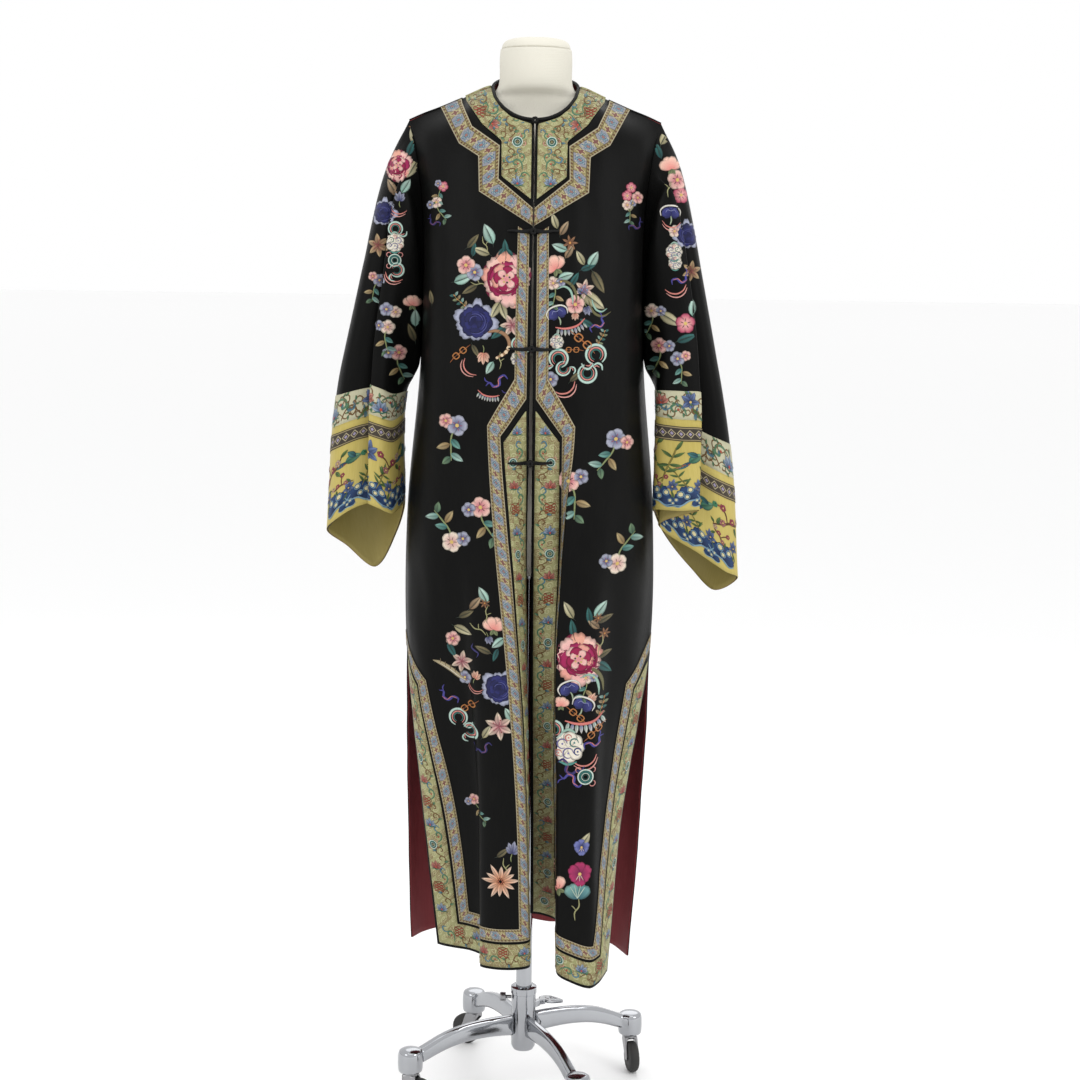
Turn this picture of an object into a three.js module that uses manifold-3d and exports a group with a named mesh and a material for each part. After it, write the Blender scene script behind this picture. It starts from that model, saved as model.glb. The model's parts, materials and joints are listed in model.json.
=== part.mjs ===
// Embroidered silk robe on a limbless dress form with a wheeled stand.
// Millimetres, +Z up, the front of the robe faces -Y, the wearer's left is +X.
// The origin is on the floor under the middle of the whole object.
import * as THREE from 'three';
import Module from 'manifold-3d';

const wasm = await Module();
wasm.setup();

// ---------- driving dimensions ----------
const CLOTH = 1.6;            // silk and its lining, as one wall
const SEAM = 0.3;             // each piece stops this short of its seam line
const LIFT = 0.35;            // clearance under a trim that lies on the cloth
const TRIM = 0.8;             // thickness of a ribbon or a brocade band
const CENTRE_SHIFT = [-4.49, -2.76];   // puts the middle of the object over the origin

const BORDER_EDGE = 4.5;      // bare bound edge outside the brocade border
const BORDER_IN = 40;         // inner side of the brocade border, from the edge
const RIBBON_OUT = 44;        // ribbon's side towards the brocade
const RIBBON_IN = 64;         // ribbon's side towards the black silk
const FRONT_WIDTH = 268;      // flat width of a front at the hem
const BACK_WIDTH = 232;       // flat width of half the back at the hem
const HEM_Z = 250;            // level of an even hem, the zero of flat heights

const POLE_R = 12.5;
const POLE_SIDES = 20;
const HUB_R = 19;
const HUB_BORE_R = 12.9;
const HUB_BOTTOM = 66;
const HUB_TOP = 169;
const FORM_BOTTOM = 838;
const STAND_TURN = THREE.MathUtils.degToRad(25.8);   // turn of the leg cross
const CASTER_RING = 193;      // pole axis to caster stem
const SOCKET_R = 20;
const SOCKET_BOTTOM = 60;
const SOCKET_TOP = 96;
const WHEEL_R = 25;
const WHEEL_W = 15;
const WHEEL_SIDES = 16;
const CASTER_TRAIL = 15;      // stem axis to axle

// ---------- colours and finishes ----------
const finish = (color, roughness, metalness) => (
  new THREE.MeshStandardMaterial({ color, roughness, metalness }));
const silk = () => finish(0x1b1b1a, 0.5, 0);
const brocade = () => finish(0xa9a06a, 0.6, 0);
const ribbon = () => finish(0x9a8a5e, 0.6, 0);
const cuffSatin = () => finish(0xcdbb6b, 0.5, 0);
const cuffFloral = () => finish(0xc9c2b0, 0.6, 0);
const cuffRibbon = () => finish(0x4b4438, 0.7, 0);
const facing = () => finish(0xb8a552, 0.6, 0);
const lining = () => finish(0x6b3137, 0.7, 0);
const cord = () => finish(0x121212, 0.7, 0);
const linen = () => finish(0xdcd9d0, 0.85, 0);
const chrome = () => finish(0xc8ccd0, 0.15, 1);
const steel = () => finish(0x8d8f92, 0.4, 1);
const rubber = () => finish(0x1c1c1c, 0.8, 0);

// ---------- meshes ----------
const garment = new THREE.Group();
const stand = new THREE.Group();

function bodyOf(vertices, faces) {
  let volume = 0;
  for (const [a, b, c] of faces) {
    const cross = new THREE.Vector3().crossVectors(vertices[b], vertices[c]);
    volume += vertices[a].dot(cross);
  }
  const turned = volume < 0 ? faces.map(([a, b, c]) => [a, c, b]) : faces;
  const geometry = new THREE.BufferGeometry();
  const flat = vertices.flatMap((v) => [v.x, v.y, v.z]);
  geometry.setAttribute('position', new THREE.Float32BufferAttribute(flat, 3));
  geometry.setIndex(turned.flat());
  geometry.computeVertexNormals();
  return geometry;
}

function add(group, name, geometry, material) {
  const mesh = new THREE.Mesh(geometry, material);
  mesh.name = name;
  group.add(mesh);
  return mesh;
}

function toManifold(geometry) {
  const source = geometry.index ? geometry : geometry.clone();
  const position = source.attributes.position;
  const seen = new Map();
  const points = [];
  const corner = (k) => {
    const xyz = [position.getX(k), position.getY(k), position.getZ(k)];
    const key = xyz.map((value) => Math.round(value * 1e4)).join();
    if (!seen.has(key)) {
      seen.set(key, points.length / 3);
      points.push(...xyz);
    }
    return seen.get(key);
  };
  const count = source.index ? source.index.count : position.count;
  const triangles = [];
  for (let k = 0; k < count; k += 3) {
    const ids = [0, 1, 2].map((n) => corner(source.index ? source.index.getX(k + n) : k + n));
    if (new Set(ids).size === 3) triangles.push(...ids);
  }
  return new wasm.Manifold(new wasm.Mesh({
    numProp: 3,
    vertProperties: new Float32Array(points),
    triVerts: new Uint32Array(triangles),
  }));
}

function fromManifold(solid) {
  const mesh = solid.getMesh();
  const geometry = new THREE.BufferGeometry();
  const position = new Float32Array(mesh.vertProperties);
  geometry.setAttribute('position', new THREE.BufferAttribute(position, 3));
  geometry.setIndex(new THREE.BufferAttribute(new Uint32Array(mesh.triVerts), 1));
  geometry.computeVertexNormals();
  return geometry;
}

function joined(geometries) {
  const solids = geometries.map(toManifold);
  return fromManifold(solids.reduce((sum, next) => sum.add(next)));
}

// ---------- cloth surfaces ----------
// A surface is worked out from lines that run down the cloth, one for each fold:
// smooth along every line, then smooth across them.
function clothGrid(lines, across, along, closed) {
  const curves = lines.map((points) => (
    new THREE.CatmullRomCurve3(points, false, 'centripetal')));
  const spans = lines[0].length - 1;
  return along.map((v) => {
    const row = curves.map((curve) => curve.getPoint(v / spans));
    const ring = new THREE.CatmullRomCurve3(row, closed, 'centripetal');
    const steps = closed ? lines.length : lines.length - 1;
    return across.map((u) => ring.getPoint(u / steps));
  });
}

function gridNormals(grid, closed) {
  const columns = grid[0].length;
  const wrap = (i) => (closed ? (i + columns) % columns : THREE.MathUtils.clamp(i, 0, columns - 1));
  let outward = 0;
  const normals = grid.map((row, j) => {
    const middle = new THREE.Vector3();
    if (closed) row.forEach((p) => middle.addScaledVector(p, 1 / columns));
    middle.z = 0;
    return row.map((p, i) => {
      const above = grid[Math.min(j + 1, grid.length - 1)][i];
      const below = grid[Math.max(j - 1, 0)][i];
      const along = new THREE.Vector3().subVectors(above, below).normalize();
      // both sides of a fold count alike, so that the normal halves the fold
      const onward = new THREE.Vector3().subVectors(row[wrap(i + 1)], p).normalize();
      const across = new THREE.Vector3().subVectors(p, row[wrap(i - 1)]).normalize().add(onward);
      const normal = new THREE.Vector3().crossVectors(across, along).normalize();
      outward += normal.x * (p.x - middle.x) + normal.y * (p.y - middle.y);
      return normal;
    });
  });
  if (outward < 0) normals.flat().forEach((normal) => normal.negate());
  return normals;
}

function offset(point, normal, distance) {
  return point.clone().addScaledVector(normal, distance);
}

// A closed wall between two distances from a surface.
function wall(grid, normals, inner, outer, closed) {
  const columns = grid[0].length;
  const vertices = [];
  const layers = [inner, outer].map((distance) => grid.map((row, j) => row.map((p, i) => {
    vertices.push(offset(p, normals[j][i], distance));
    return vertices.length - 1;
  })));
  const faces = [];
  const quad = (a, b, c, d) => faces.push([a, b, c], [a, c, d]);
  const lastCell = closed ? columns : columns - 1;
  for (let j = 0; j < grid.length - 1; j += 1) {
    for (let i = 0; i < lastCell; i += 1) {
      const k = (i + 1) % columns;
      const [low, high] = layers;
      quad(high[j][i], high[j][k], high[j + 1][k], high[j + 1][i]);
      faces.push([low[j][i], low[j + 1][k], low[j][k]]);
      faces.push([low[j][i], low[j + 1][i], low[j + 1][k]]);
    }
  }
  const rim = (path) => path.slice(1).forEach(([j, i], n) => {
    const [pj, pi] = path[n];
    quad(layers[0][pj][pi], layers[0][j][i], layers[1][j][i], layers[1][pj][pi]);
  });
  const top = grid.length - 1;
  const all = [...Array(lastCell + 1).keys()].map((i) => i % columns);
  const up = [...Array(top + 1).keys()];
  rim(all.map((i) => [0, i]));
  rim(all.map((i) => [top, i]).reverse());
  if (!closed) {
    rim(up.map((j) => [j, columns - 1]));
    rim(up.map((j) => [j, 0]).reverse());
  }
  return bodyOf(vertices, faces);
}

// ---------- trims cut to an outline and laid on a surface ----------
const areaOf = (outline) => outline.reduce((sum, p, n) => {
  const q = outline[(n + 1) % outline.length];
  return sum + (p[0] * q[1] - q[0] * p[1]) / 2;
}, 0);

// Keeps the part of a polygon that lies inside a convex outline. A corner is
// [a, b, weights], with the weights of the cloth triangle's three corners.
function clip(corners, outline) {
  const ring = areaOf(outline) < 0 ? [...outline].reverse() : outline;
  let kept = corners;
  ring.forEach((p, n) => {
    const q = ring[(n + 1) % ring.length];
    const side = (c) => (q[0] - p[0]) * (c[1] - p[1]) - (q[1] - p[1]) * (c[0] - p[0]);
    const next = [];
    kept.forEach((here, k) => {
      const before = kept[(k + kept.length - 1) % kept.length];
      const now = side(here);
      const then = side(before);
      if ((now >= 0) !== (then >= 0)) {
        const t = then / (then - now);
        const mix = (x, y) => x + (y - x) * t;
        next.push([mix(before[0], here[0]), mix(before[1], here[1]),
          before[2].map((w, m) => mix(w, here[2][m]))]);
      }
      if (now >= 0) next.push(here);
    });
    kept = next;
  });
  return kept;
}

// chart[j][i] gives the flat place of each point of the surface, and outlines are
// convex pieces of the trim in those flat sizes, which share whole sides.
function laidTrim(cloth, chart, outlines, inner = LIFT, outer = LIFT + TRIM) {
  const { grid, normals } = cloth;
  const vertices = [];
  const partner = [];
  const find = (low) => vertices.findIndex((v) => v.distanceToSquared(low) < 1e-6);
  const corner = (place, feet) => {
    const at = new THREE.Vector3();
    const normal = new THREE.Vector3();
    feet.forEach(([j, i], m) => {
      at.addScaledVector(grid[j][i], place[2][m]);
      normal.addScaledVector(normals[j][i], place[2][m]);
    });
    const low = offset(at, normal, inner);
    const known = find(low);
    if (known >= 0) return known;
    vertices.push(low);
    partner[vertices.length - 1] = offset(at, normal, outer);
    return vertices.length - 1;
  };
  const flat = [];
  const units = [[1, 0, 0], [0, 1, 0], [0, 0, 1]];
  for (let j = 0; j < grid.length - 1; j += 1) {
    for (let i = 0; i < grid[0].length - 1; i += 1) {
      const cells = [[[j, i], [j, i + 1], [j + 1, i + 1]], [[j, i], [j + 1, i + 1], [j + 1, i]]];
      cells.forEach((feet) => {
        const triangle = feet.map(([r, c], m) => [...chart[r][c], units[m]]);
        outlines.forEach((outline) => {
          const kept = clip(triangle, outline);
          if (kept.length < 3 || Math.abs(areaOf(kept)) < 1e-5) return;
          const ids = kept.map((place) => corner(place, feet));
          const loop = ids.filter((id, k) => id !== ids[(k + ids.length - 1) % ids.length]);
          for (let k = 1; k < loop.length - 1; k += 1) {
            if (new Set([loop[0], loop[k], loop[k + 1]]).size < 3) continue;
            const turned = areaOf(kept) < 0;
            flat.push(turned ? [loop[0], loop[k + 1], loop[k]] : [loop[0], loop[k], loop[k + 1]]);
          }
        });
      });
    }
  }
  const count = vertices.length;
  const faces = [];
  const open = new Set();
  flat.forEach(([a, b, c]) => {
    faces.push([a, c, b], [a + count, b + count, c + count]);
    [[a, b], [b, c], [c, a]].forEach(([p, q]) => {
      if (!open.delete(`${q},${p}`)) open.add(`${p},${q}`);
    });
  });
  open.forEach((edge) => {
    const [p, q] = edge.split(',').map(Number);
    faces.push([p, q, q + count], [p, q + count, p + count]);
  });
  return bodyOf([...vertices, ...partner], faces);
}

// ---------- the robe's panels ----------
// One row for each fold line, from the middle of the robe to its side. Distances
// out from the middle are positive on both sides. Columns, with the level of each
// pair where it is the same for all lines:
// hem x y z | knee x y | slit top x y | hip x y | armpit x y | chest x y |
// yoke x y z | top x y z
const LEVELS = { knee: 470, slit: 720, hip: 930, armpit: 1160, chest: 1380 };

const FRONT_RIGHT_FOLDS = [
  [-1, -96, 256, -1, -98, 2, -100, 3, -116, 2, -139, 1, -117, 1, -93, 1463, 1, -72, 1508],
  [-8, -118, 252, -4, -126, 5, -122, 14, -131, 20, -141, 20, -118, 19, -93, 1465, 18, -71, 1510],
  [-8, -140, 249, 2, -148, 20, -148, 32, -147, 42, -141, 40, -117, 38, -90, 1473, 35, -66, 1517],
  [30, -150, 248, 34, -152, 48, -149, 58, -143, 62, -137, 60, -113, 56, -85, 1484, 51, -54, 1530],
  [66, -132, 247, 68, -132, 78, -134, 84, -132, 82, -132, 80, -107, 74, -77, 1500, 62, -31, 1547],
  [57, -100, 249, 68, -102, 93, -116, 106, -122, 106, -123, 104, -99, 92, -68, 1516, 67, 0, 1562],
  [84, -72, 251, 98, -80, 122, -104, 132, -110, 130, -111, 128, -88, 116, -62, 1502, 104, 1, 1547],
  [110, -62, 252, 128, -70, 152, -87, 156, -88, 148, -90, 148, -70, 140, -55, 1487, 142, 2, 1531],
  [126, -58, 253, 150, -60, 176, -56, 178, -54, 162, -52, 160, -50, 160, -44, 1477, 168, 2, 1521],
  [135, -54, 254, 160, -48, 187, -20, 188, 0, 169, 0, 166, -30, 177, -24, 1468, 188, 2, 1512],
];
const FRONT_LEFT_FOLDS = [
  [9, -26, 296, 7, -60, 4, -94, 3, -117, 2, -139, 1, -117, 1, -93, 1463, 1, -72, 1508],
  [29, -24, 292, 21, -62, 19, -100, 24, -122, 22, -141, 20, -118, 19, -93, 1465, 18, -71, 1510],
  [50, -34, 286, 40, -70, 38, -108, 47, -124, 42, -142, 40, -117, 38, -90, 1473, 35, -66, 1517],
  [54, -90, 262, 48, -112, 44, -130, 52, -138, 58, -140, 58, -114, 54, -86, 1484, 49, -56, 1528],
  [50, -148, 242, 48, -150, 42, -151, 54, -148, 72, -136, 78, -107, 74, -77, 1500, 62, -31, 1547],
  [72, -156, 232, 70, -154, 66, -152, 76, -143, 92, -130, 103, -100, 92, -68, 1516, 67, 0, 1562],
  [100, -152, 222, 98, -150, 98, -146, 104, -134, 116, -119, 127, -88, 116, -62, 1502, 104, 1, 1547],
  [113, -136, 224, 116, -124, 122, -114, 130, -112, 138, -102, 147, -70, 140, -55, 1487, 142, 2, 1531],
  [121, -116, 228, 136, -88, 158, -74, 166, -70, 159, -60, 160, -50, 160, -44, 1477, 168, 2, 1521],
  [128, -100, 232, 148, -62, 187, -20, 188, 0, 169, 0, 166, -30, 177, -24, 1468, 188, 2, 1512],
];
const BACK_RIGHT_FOLDS = [
  [182, 40, 232, 188, 26, 187, -20, 188, 0, 169, 0, 166, 34, 178, 26, 1468, 188, 2, 1512],
  [168, 66, 232, 173, 60, 176, 40, 178, 48, 160, 46, 158, 60, 160, 48, 1482, 150, 2, 1528],
  [138, 92, 233, 142, 90, 146, 86, 150, 84, 138, 84, 136, 84, 122, 64, 1500, 106, 1, 1546],
  [106, 106, 234, 109, 109, 112, 108, 116, 106, 108, 104, 106, 98, 90, 70, 1516, 67, 0, 1562],
  [74, 134, 235, 76, 130, 78, 126, 80, 124, 76, 118, 74, 109, 66, 80, 1526, 56, 35, 1573],
  [40, 116, 236, 40, 121, 38, 124, 40, 127, 38, 120, 36, 113, 34, 86, 1532, 32, 57, 1577],
  [0, 138, 236, 0, 134, 0, 131, 0, 130, 0, 121, 0, 113, 0, 89, 1534, 0, 65, 1578],
];
const BACK_LEFT_FOLDS = [
  [166, 40, 206, 182, 26, 187, -20, 188, 0, 169, 0, 166, 34, 178, 26, 1468, 188, 2, 1512],
  [154, 68, 208, 168, 60, 176, 40, 178, 48, 160, 46, 158, 60, 160, 48, 1482, 150, 2, 1528],
  [130, 92, 214, 139, 90, 146, 86, 150, 84, 138, 84, 136, 84, 122, 64, 1500, 106, 1, 1546],
  [100, 108, 222, 107, 110, 112, 108, 116, 106, 108, 104, 106, 98, 90, 70, 1516, 67, 0, 1562],
  [72, 134, 230, 75, 130, 78, 126, 80, 124, 76, 118, 74, 109, 66, 80, 1526, 56, 35, 1573],
  [40, 118, 235, 40, 122, 38, 124, 40, 127, 38, 120, 36, 113, 34, 86, 1532, 32, 57, 1577],
  [0, 138, 236, 0, 134, 0, 131, 0, 130, 0, 121, 0, 113, 0, 89, 1534, 0, 65, 1578],
];

function foldLines(table, side) {
  return table.map((row) => {
    const [hx, hy, hz, kx, ky, sx, sy, px, py, ax, ay, cx, cy, yx, yy, yz, tx, ty, tz] = row;
    return [[hx, hy, hz], [kx, ky, LEVELS.knee], [sx, sy, LEVELS.slit], [px, py, LEVELS.hip],
      [ax, ay, LEVELS.armpit], [cx, cy, LEVELS.chest], [yx, yy, yz], [tx, ty, tz],
    ].map(([x, y, z]) => new THREE.Vector3(side * x, y, z));
  });
}

// Places along the fold lines: 0 is the hem, 2 the slit's top, 4 the armpit and
// 7 the neck, shoulder and armhole's top.
const steps = (from, to, count) => (
  [...Array(count).keys()].map((n) => from + ((n + 1) * (to - from)) / count));
const BELOW = [0, ...steps(0, 4, 8)];
const FRONT_ARMHOLE = 8;
const BACK_ARMHOLE = 6;
const FRONT_ROWS = [...BELOW, ...steps(4, 7, FRONT_ARMHOLE)];
const BACK_ROWS = [...BELOW, ...steps(4, 7, BACK_ARMHOLE)];
const FRONT_ACROSS = [0, 1, 2, 3, 4, 5, 6, 7, 8, 9];
const NECK_POINT = 5;         // front fold line that ends where neck meets shoulder
const BACK_NECK = 3;          // steps from the neck point to the centre back
const SHOULDER = FRONT_ACROSS.filter((u) => u >= NECK_POINT);
const BACK_ACROSS = [...SHOULDER.map((u) => ((9 - u) * 3) / 4).reverse(), ...steps(3, 6, BACK_NECK)];
const ARMPIT_ROW = BELOW.length - 1;
const SLIT_ROW = 4;

function makePanels(side, frontTable, backTable) {
  const front = clothGrid(foldLines(frontTable, side), FRONT_ACROSS, FRONT_ROWS, false);
  const back = clothGrid(foldLines(backTable, side), BACK_ACROSS, BACK_ROWS, false);
  // the side seam and the shoulder are one line, shared by front and back
  for (let j = SLIT_ROW; j <= ARMPIT_ROW; j += 1) back[j][0].copy(front[j].at(-1));
  const shoulder = front.at(-1).slice(-SHOULDER.length).reverse();
  shoulder.forEach((p, i) => back.at(-1)[i].copy(p));
  return { front, back };
}

// ---------- sleeves ----------
// One row for each fold line round the sleeve, from the shoulder fold over the
// front to the underarm (row 7) and back. Columns: upper arm x y z | elbow x y z |
// top of the cuff bands x y z | cuff edge x y z.
const SLEEVE_RIGHT_FOLDS = [
  [222, 0, 1440, 262, -4, 1270, 297, -6, 1098, 311, -4, 893],
  [213, -26, 1441, 252, -30, 1272, 284, -34, 1104, 296, -32, 912],
  [204, -38, 1438, 232, -38, 1272, 256, -38, 1112, 262, -36, 934],
  [196, -38, 1430, 214, -34, 1262, 222, -32, 1118, 222, -30, 944],
  [195, -50, 1420, 226, -56, 1262, 240, -58, 1120, 243, -56, 942],
  [184, -50, 1390, 212, -58, 1240, 224, -60, 1114, 227, -58, 934],
  [172, -38, 1300, 198, -40, 1190, 208, -44, 1106, 210, -43, 925],
  [172, 2, 1146, 180, 2, 1130, 190, 2, 1108, 193, 2, 935],
  [178, 34, 1260, 196, 34, 1180, 206, 32, 1096, 206, 28, 890],
  [194, 46, 1400, 222, 50, 1255, 238, 50, 1050, 241, 46, 830],
  [212, 28, 1438, 250, 32, 1270, 284, 34, 1080, 285, 30, 866],
];
const SLEEVE_LEFT_FOLDS = [
  [221, 0, 1440, 258, -4, 1270, 303, -6, 1033, 320, -4, 828],
  [213, -22, 1441, 248, -26, 1270, 286, -28, 1042, 299, -26, 841],
  [204, -32, 1438, 230, -30, 1270, 256, -28, 1056, 260, -26, 867],
  [188, -34, 1425, 202, -28, 1250, 202, -28, 1090, 197, -28, 911],
  [196, -48, 1420, 236, -52, 1262, 252, -54, 1115, 255, -50, 937],
  [184, -52, 1390, 216, -60, 1240, 224, -62, 1117, 224, -60, 937],
  [172, -42, 1300, 192, -50, 1190, 192, -52, 1117, 190, -48, 937],
  [172, 2, 1146, 181, 2, 1130, 189, 1, 1112, 192, 0, 925],
  [178, 34, 1260, 200, 36, 1180, 212, 34, 1090, 208, 30, 890],
  [194, 46, 1400, 226, 50, 1250, 250, 50, 1040, 252, 44, 835],
  [212, 28, 1438, 250, 32, 1270, 290, 34, 1030, 288, 32, 803],
];
const ROUND_FRONT = [0, 1, 2, 3, 3.5, 4, 5, 6];
const ROUND_BACK = [7, 7.5, 8, 9, 10, 10.5];
const BANDS = { top: 3, floralEnd: 3.25, ribbonTop: 3.31, ribbonEnd: 3.43, facingTop: 3.5, edge: 4 };
const SLEEVE_ROWS = [0, 0.5, 1, 1.5, 2, BANDS.top, BANDS.floralEnd, BANDS.ribbonTop,
  BANDS.ribbonEnd, BANDS.facingTop, 3.75, BANDS.edge];

function makeSleeve(side, table, panels) {
  const frontEdge = panels.front.slice(ARMPIT_ROW).map((row) => row.at(-1)).reverse();
  const backEdge = panels.back.slice(ARMPIT_ROW).map((row) => row[0]);
  const armhole = [...frontEdge, ...backEdge.slice(1, -1)];
  // where each fold line starts on the armhole
  const round = [...ROUND_FRONT, ...ROUND_BACK];
  const loop = new THREE.CatmullRomCurve3(armhole, true, 'centripetal');
  const lines = table.map((row, n) => {
    const place = round.indexOf(n) / round.length;
    const [ux, uy, uz, ex, ey, ez, bx, by, bz, cx, cy, cz] = row;
    return [loop.getPoint(place), ...[[ux, uy, uz], [ex, ey, ez], [bx, by, bz], [cx, cy, cz]]
      .map(([x, y, z]) => new THREE.Vector3(side * x, y, z))];
  });
  const grid = clothGrid(lines, round, SLEEVE_ROWS, true);
  grid[0].forEach((p, i) => p.copy(armhole[i]));
  return grid;
}

// Walls that meet at a seam share one normal there, so that they end face to face.
function shareNormals(cloths) {
  const sums = new Map();
  const keyOf = (p) => [p.x, p.y, p.z].map((value) => Math.round(value * 100)).join();
  const each = (work) => cloths.forEach(({ grid, normals }) => grid.forEach((row, j) => (
    row.forEach((p, i) => work(keyOf(p), normals[j][i])))));
  each((key, normal) => {
    if (!sums.has(key)) sums.set(key, new THREE.Vector3());
    sums.get(key).add(normal);
  });
  each((key, normal) => normal.copy(sums.get(key)).normalize());
}

function towards(p, q, distance = SEAM) {
  const pull = new THREE.Vector3().subVectors(q, p).setLength(distance);
  p.add(pull);
}

function pullEdges({ grid }, closed) {
  const top = grid.length - 1;
  const last = grid[0].length - 1;
  const copy = grid.map((row) => row.map((p) => p.clone()));
  if (closed) {
    grid[0].forEach((p, i) => towards(p, copy[1][i], 2 * SEAM));
    return;
  }
  grid[top].forEach((p, i) => towards(p, copy[top - 1][i]));
  grid.forEach((row, j) => {
    towards(row[0], copy[j][1]);
    towards(row[last], copy[j][last - 1]);
  });
}

const SIDES = { right: -1, left: 1 };
const cloth = {};
Object.entries(SIDES).forEach(([name, side]) => {
  const isRight = side < 0;
  const panels = makePanels(side, isRight ? FRONT_RIGHT_FOLDS : FRONT_LEFT_FOLDS,
    isRight ? BACK_RIGHT_FOLDS : BACK_LEFT_FOLDS);
  const sleeve = makeSleeve(side, isRight ? SLEEVE_RIGHT_FOLDS : SLEEVE_LEFT_FOLDS, panels);
  cloth[`front_${name}`] = { grid: panels.front, normals: gridNormals(panels.front, false) };
  cloth[`back_${name}`] = { grid: panels.back, normals: gridNormals(panels.back, false) };
  cloth[`sleeve_${name}`] = { grid: sleeve, normals: gridNormals(sleeve, true) };
});
shareNormals(Object.values(cloth));
Object.entries(cloth).forEach(([name, piece]) => {
  const closed = name.startsWith('sleeve');
  pullEdges(piece, closed);
  add(garment, name, wall(piece.grid, piece.normals, -CLOTH, 0, closed), silk());
});

// ---------- flat charts of the panels ----------
// a runs from the middle edge, b up from the hem. Near the side a is measured back
// from the side edge, so borders keep their width along both edges.
const ease = (t) => THREE.MathUtils.smoothstep(t, 0, 1);

function panelChart({ grid }, rows, width, middleFirst) {
  const order = (row) => (middleFirst ? row : [...row].reverse());
  const hem = order(grid[0]);
  const chart = grid.map((row, j) => {
    const points = order(row);
    let run = 0;
    const runs = points.map((p, i) => {
      run += i ? p.distanceTo(points[i - 1]) : 0;
      return run;
    });
    const even = ease(rows[j] / 2);
    return points.map((p, i) => {
      const a = runs[i] + (width - run) * ease(runs[i] / run);
      const b = p.z - THREE.MathUtils.lerp(hem[i].z, HEM_Z, even);
      return [a, b];
    });
  });
  return chart.map(order);
}

const RUYI = { tip: 840, shoulder: 794, top: 1094 };   // heights over an even hem
const SLIT_TOP = { border: 414, borderTip: 450, ribbonLow: 418, ribbonTip: 470 };

function strip(outer, inner) {
  return outer.slice(1).map((p, n) => [outer[n], p, inner[n + 1], inner[n]]);
}

function hemAndSlit(width, inner, outer, start) {
  const turn = outer === RIBBON_IN;
  const tipOut = turn ? SLIT_TOP.ribbonTip + 23 : SLIT_TOP.borderTip;
  const tipIn = turn ? SLIT_TOP.ribbonTip : SLIT_TOP.borderTip;
  const bendOut = turn ? SLIT_TOP.ribbonLow + 9 : SLIT_TOP.border;
  const bendIn = turn ? SLIT_TOP.ribbonLow : SLIT_TOP.border;
  const edge = turn ? width - 1 : width - BORDER_EDGE - 0.5;
  const out = [start.out, [width - outer, outer], [width - outer, bendOut], [edge, tipOut]];
  const low = turn ? [width - 1, tipIn] : [width - BORDER_EDGE, tipIn + 0.5];
  return strip(out, [start.low, [width - inner, inner], [width - inner, bendIn], low]);
}

function frontBorder(width) {
  const e = BORDER_EDGE;
  const opening = strip(
    [[e + 1.5, RUYI.tip - 2], [BORDER_IN, RUYI.shoulder], [BORDER_IN, BORDER_IN]],
    [[e, RUYI.tip - 1], [e, RUYI.shoulder], [e, e]]);
  return [...opening,
    ...hemAndSlit(width, e, BORDER_IN, { out: [BORDER_IN, BORDER_IN], low: [e, e] })];
}

function frontRibbon(width) {
  const opening = strip(
    [[23, RUYI.top + 11], [23, RUYI.tip + 46], [RIBBON_IN, RUYI.tip - 22], [RIBBON_IN, RIBBON_IN]],
    [[BORDER_EDGE, RUYI.top], [BORDER_EDGE, RUYI.tip + 16], [RIBBON_OUT, RUYI.shoulder + 8],
      [RIBBON_OUT, RIBBON_OUT]]);
  return [...opening, ...hemAndSlit(width, RIBBON_OUT, RIBBON_IN,
    { out: [RIBBON_IN, RIBBON_IN], low: [RIBBON_OUT, RIBBON_OUT] })];
}

const backStart = (inner, outer) => ({ out: [0, outer], low: [0, inner] });

Object.keys(SIDES).forEach((name) => {
  const front = cloth[`front_${name}`];
  const back = cloth[`back_${name}`];
  const frontFlat = panelChart(front, FRONT_ROWS, FRONT_WIDTH, true);
  const backFlat = panelChart(back, BACK_ROWS, BACK_WIDTH, false);
  add(garment, `border_front_${name}`, laidTrim(front, frontFlat, frontBorder(FRONT_WIDTH)),
    brocade());
  add(garment, `ribbon_front_${name}`, laidTrim(front, frontFlat, frontRibbon(FRONT_WIDTH)),
    ribbon());
  const border = hemAndSlit(BACK_WIDTH, BORDER_EDGE, BORDER_IN, backStart(BORDER_EDGE, BORDER_IN));
  const band = hemAndSlit(BACK_WIDTH, RIBBON_OUT, RIBBON_IN, backStart(RIBBON_OUT, RIBBON_IN));
  add(garment, `border_back_${name}`, laidTrim(back, backFlat, border), brocade());
  add(garment, `ribbon_back_${name}`, laidTrim(back, backFlat, band), ribbon());
  const rows = back.grid.slice(0, SLIT_ROW + 1);
  const inside = wall(rows, back.normals.slice(0, SLIT_ROW + 1), -CLOTH - LIFT - TRIM,
    -CLOTH - LIFT, false);
  add(garment, `lining_back_${name}`, inside, lining());
});

// ---------- yoke round the neck ----------
// Outlines as seen square from the front or the back: x out, z up.
const FRONT_YOKE = { outer: [[47, 1426], [48, 1478], [77, 1502], [102, 1539], [104, 1600]],
  tip: [4.5, 1394] };
const BACK_YOKE = { outer: [[50, 1474], [76, 1492], [96, 1520], [102, 1539], [104, 1600]],
  tip: [0, 1466] };
const FRONT_YOKE_RIBBON = {
  low: [[4.5, 1384], [51, 1423], [50, 1471], [91, 1499], [108, 1537], [112, 1600]],
  out: [[4.5, 1358], [80, 1404], [82, 1455], [110, 1473], [140, 1528], [150, 1600]] };
const BACK_YOKE_RIBBON = {
  low: [[0, 1459], [52, 1467], [82, 1489], [104, 1518], [110, 1537], [114, 1600]],
  out: [[0, 1428], [62, 1438], [104, 1466], [132, 1506], [142, 1528], [150, 1600]] };

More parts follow.
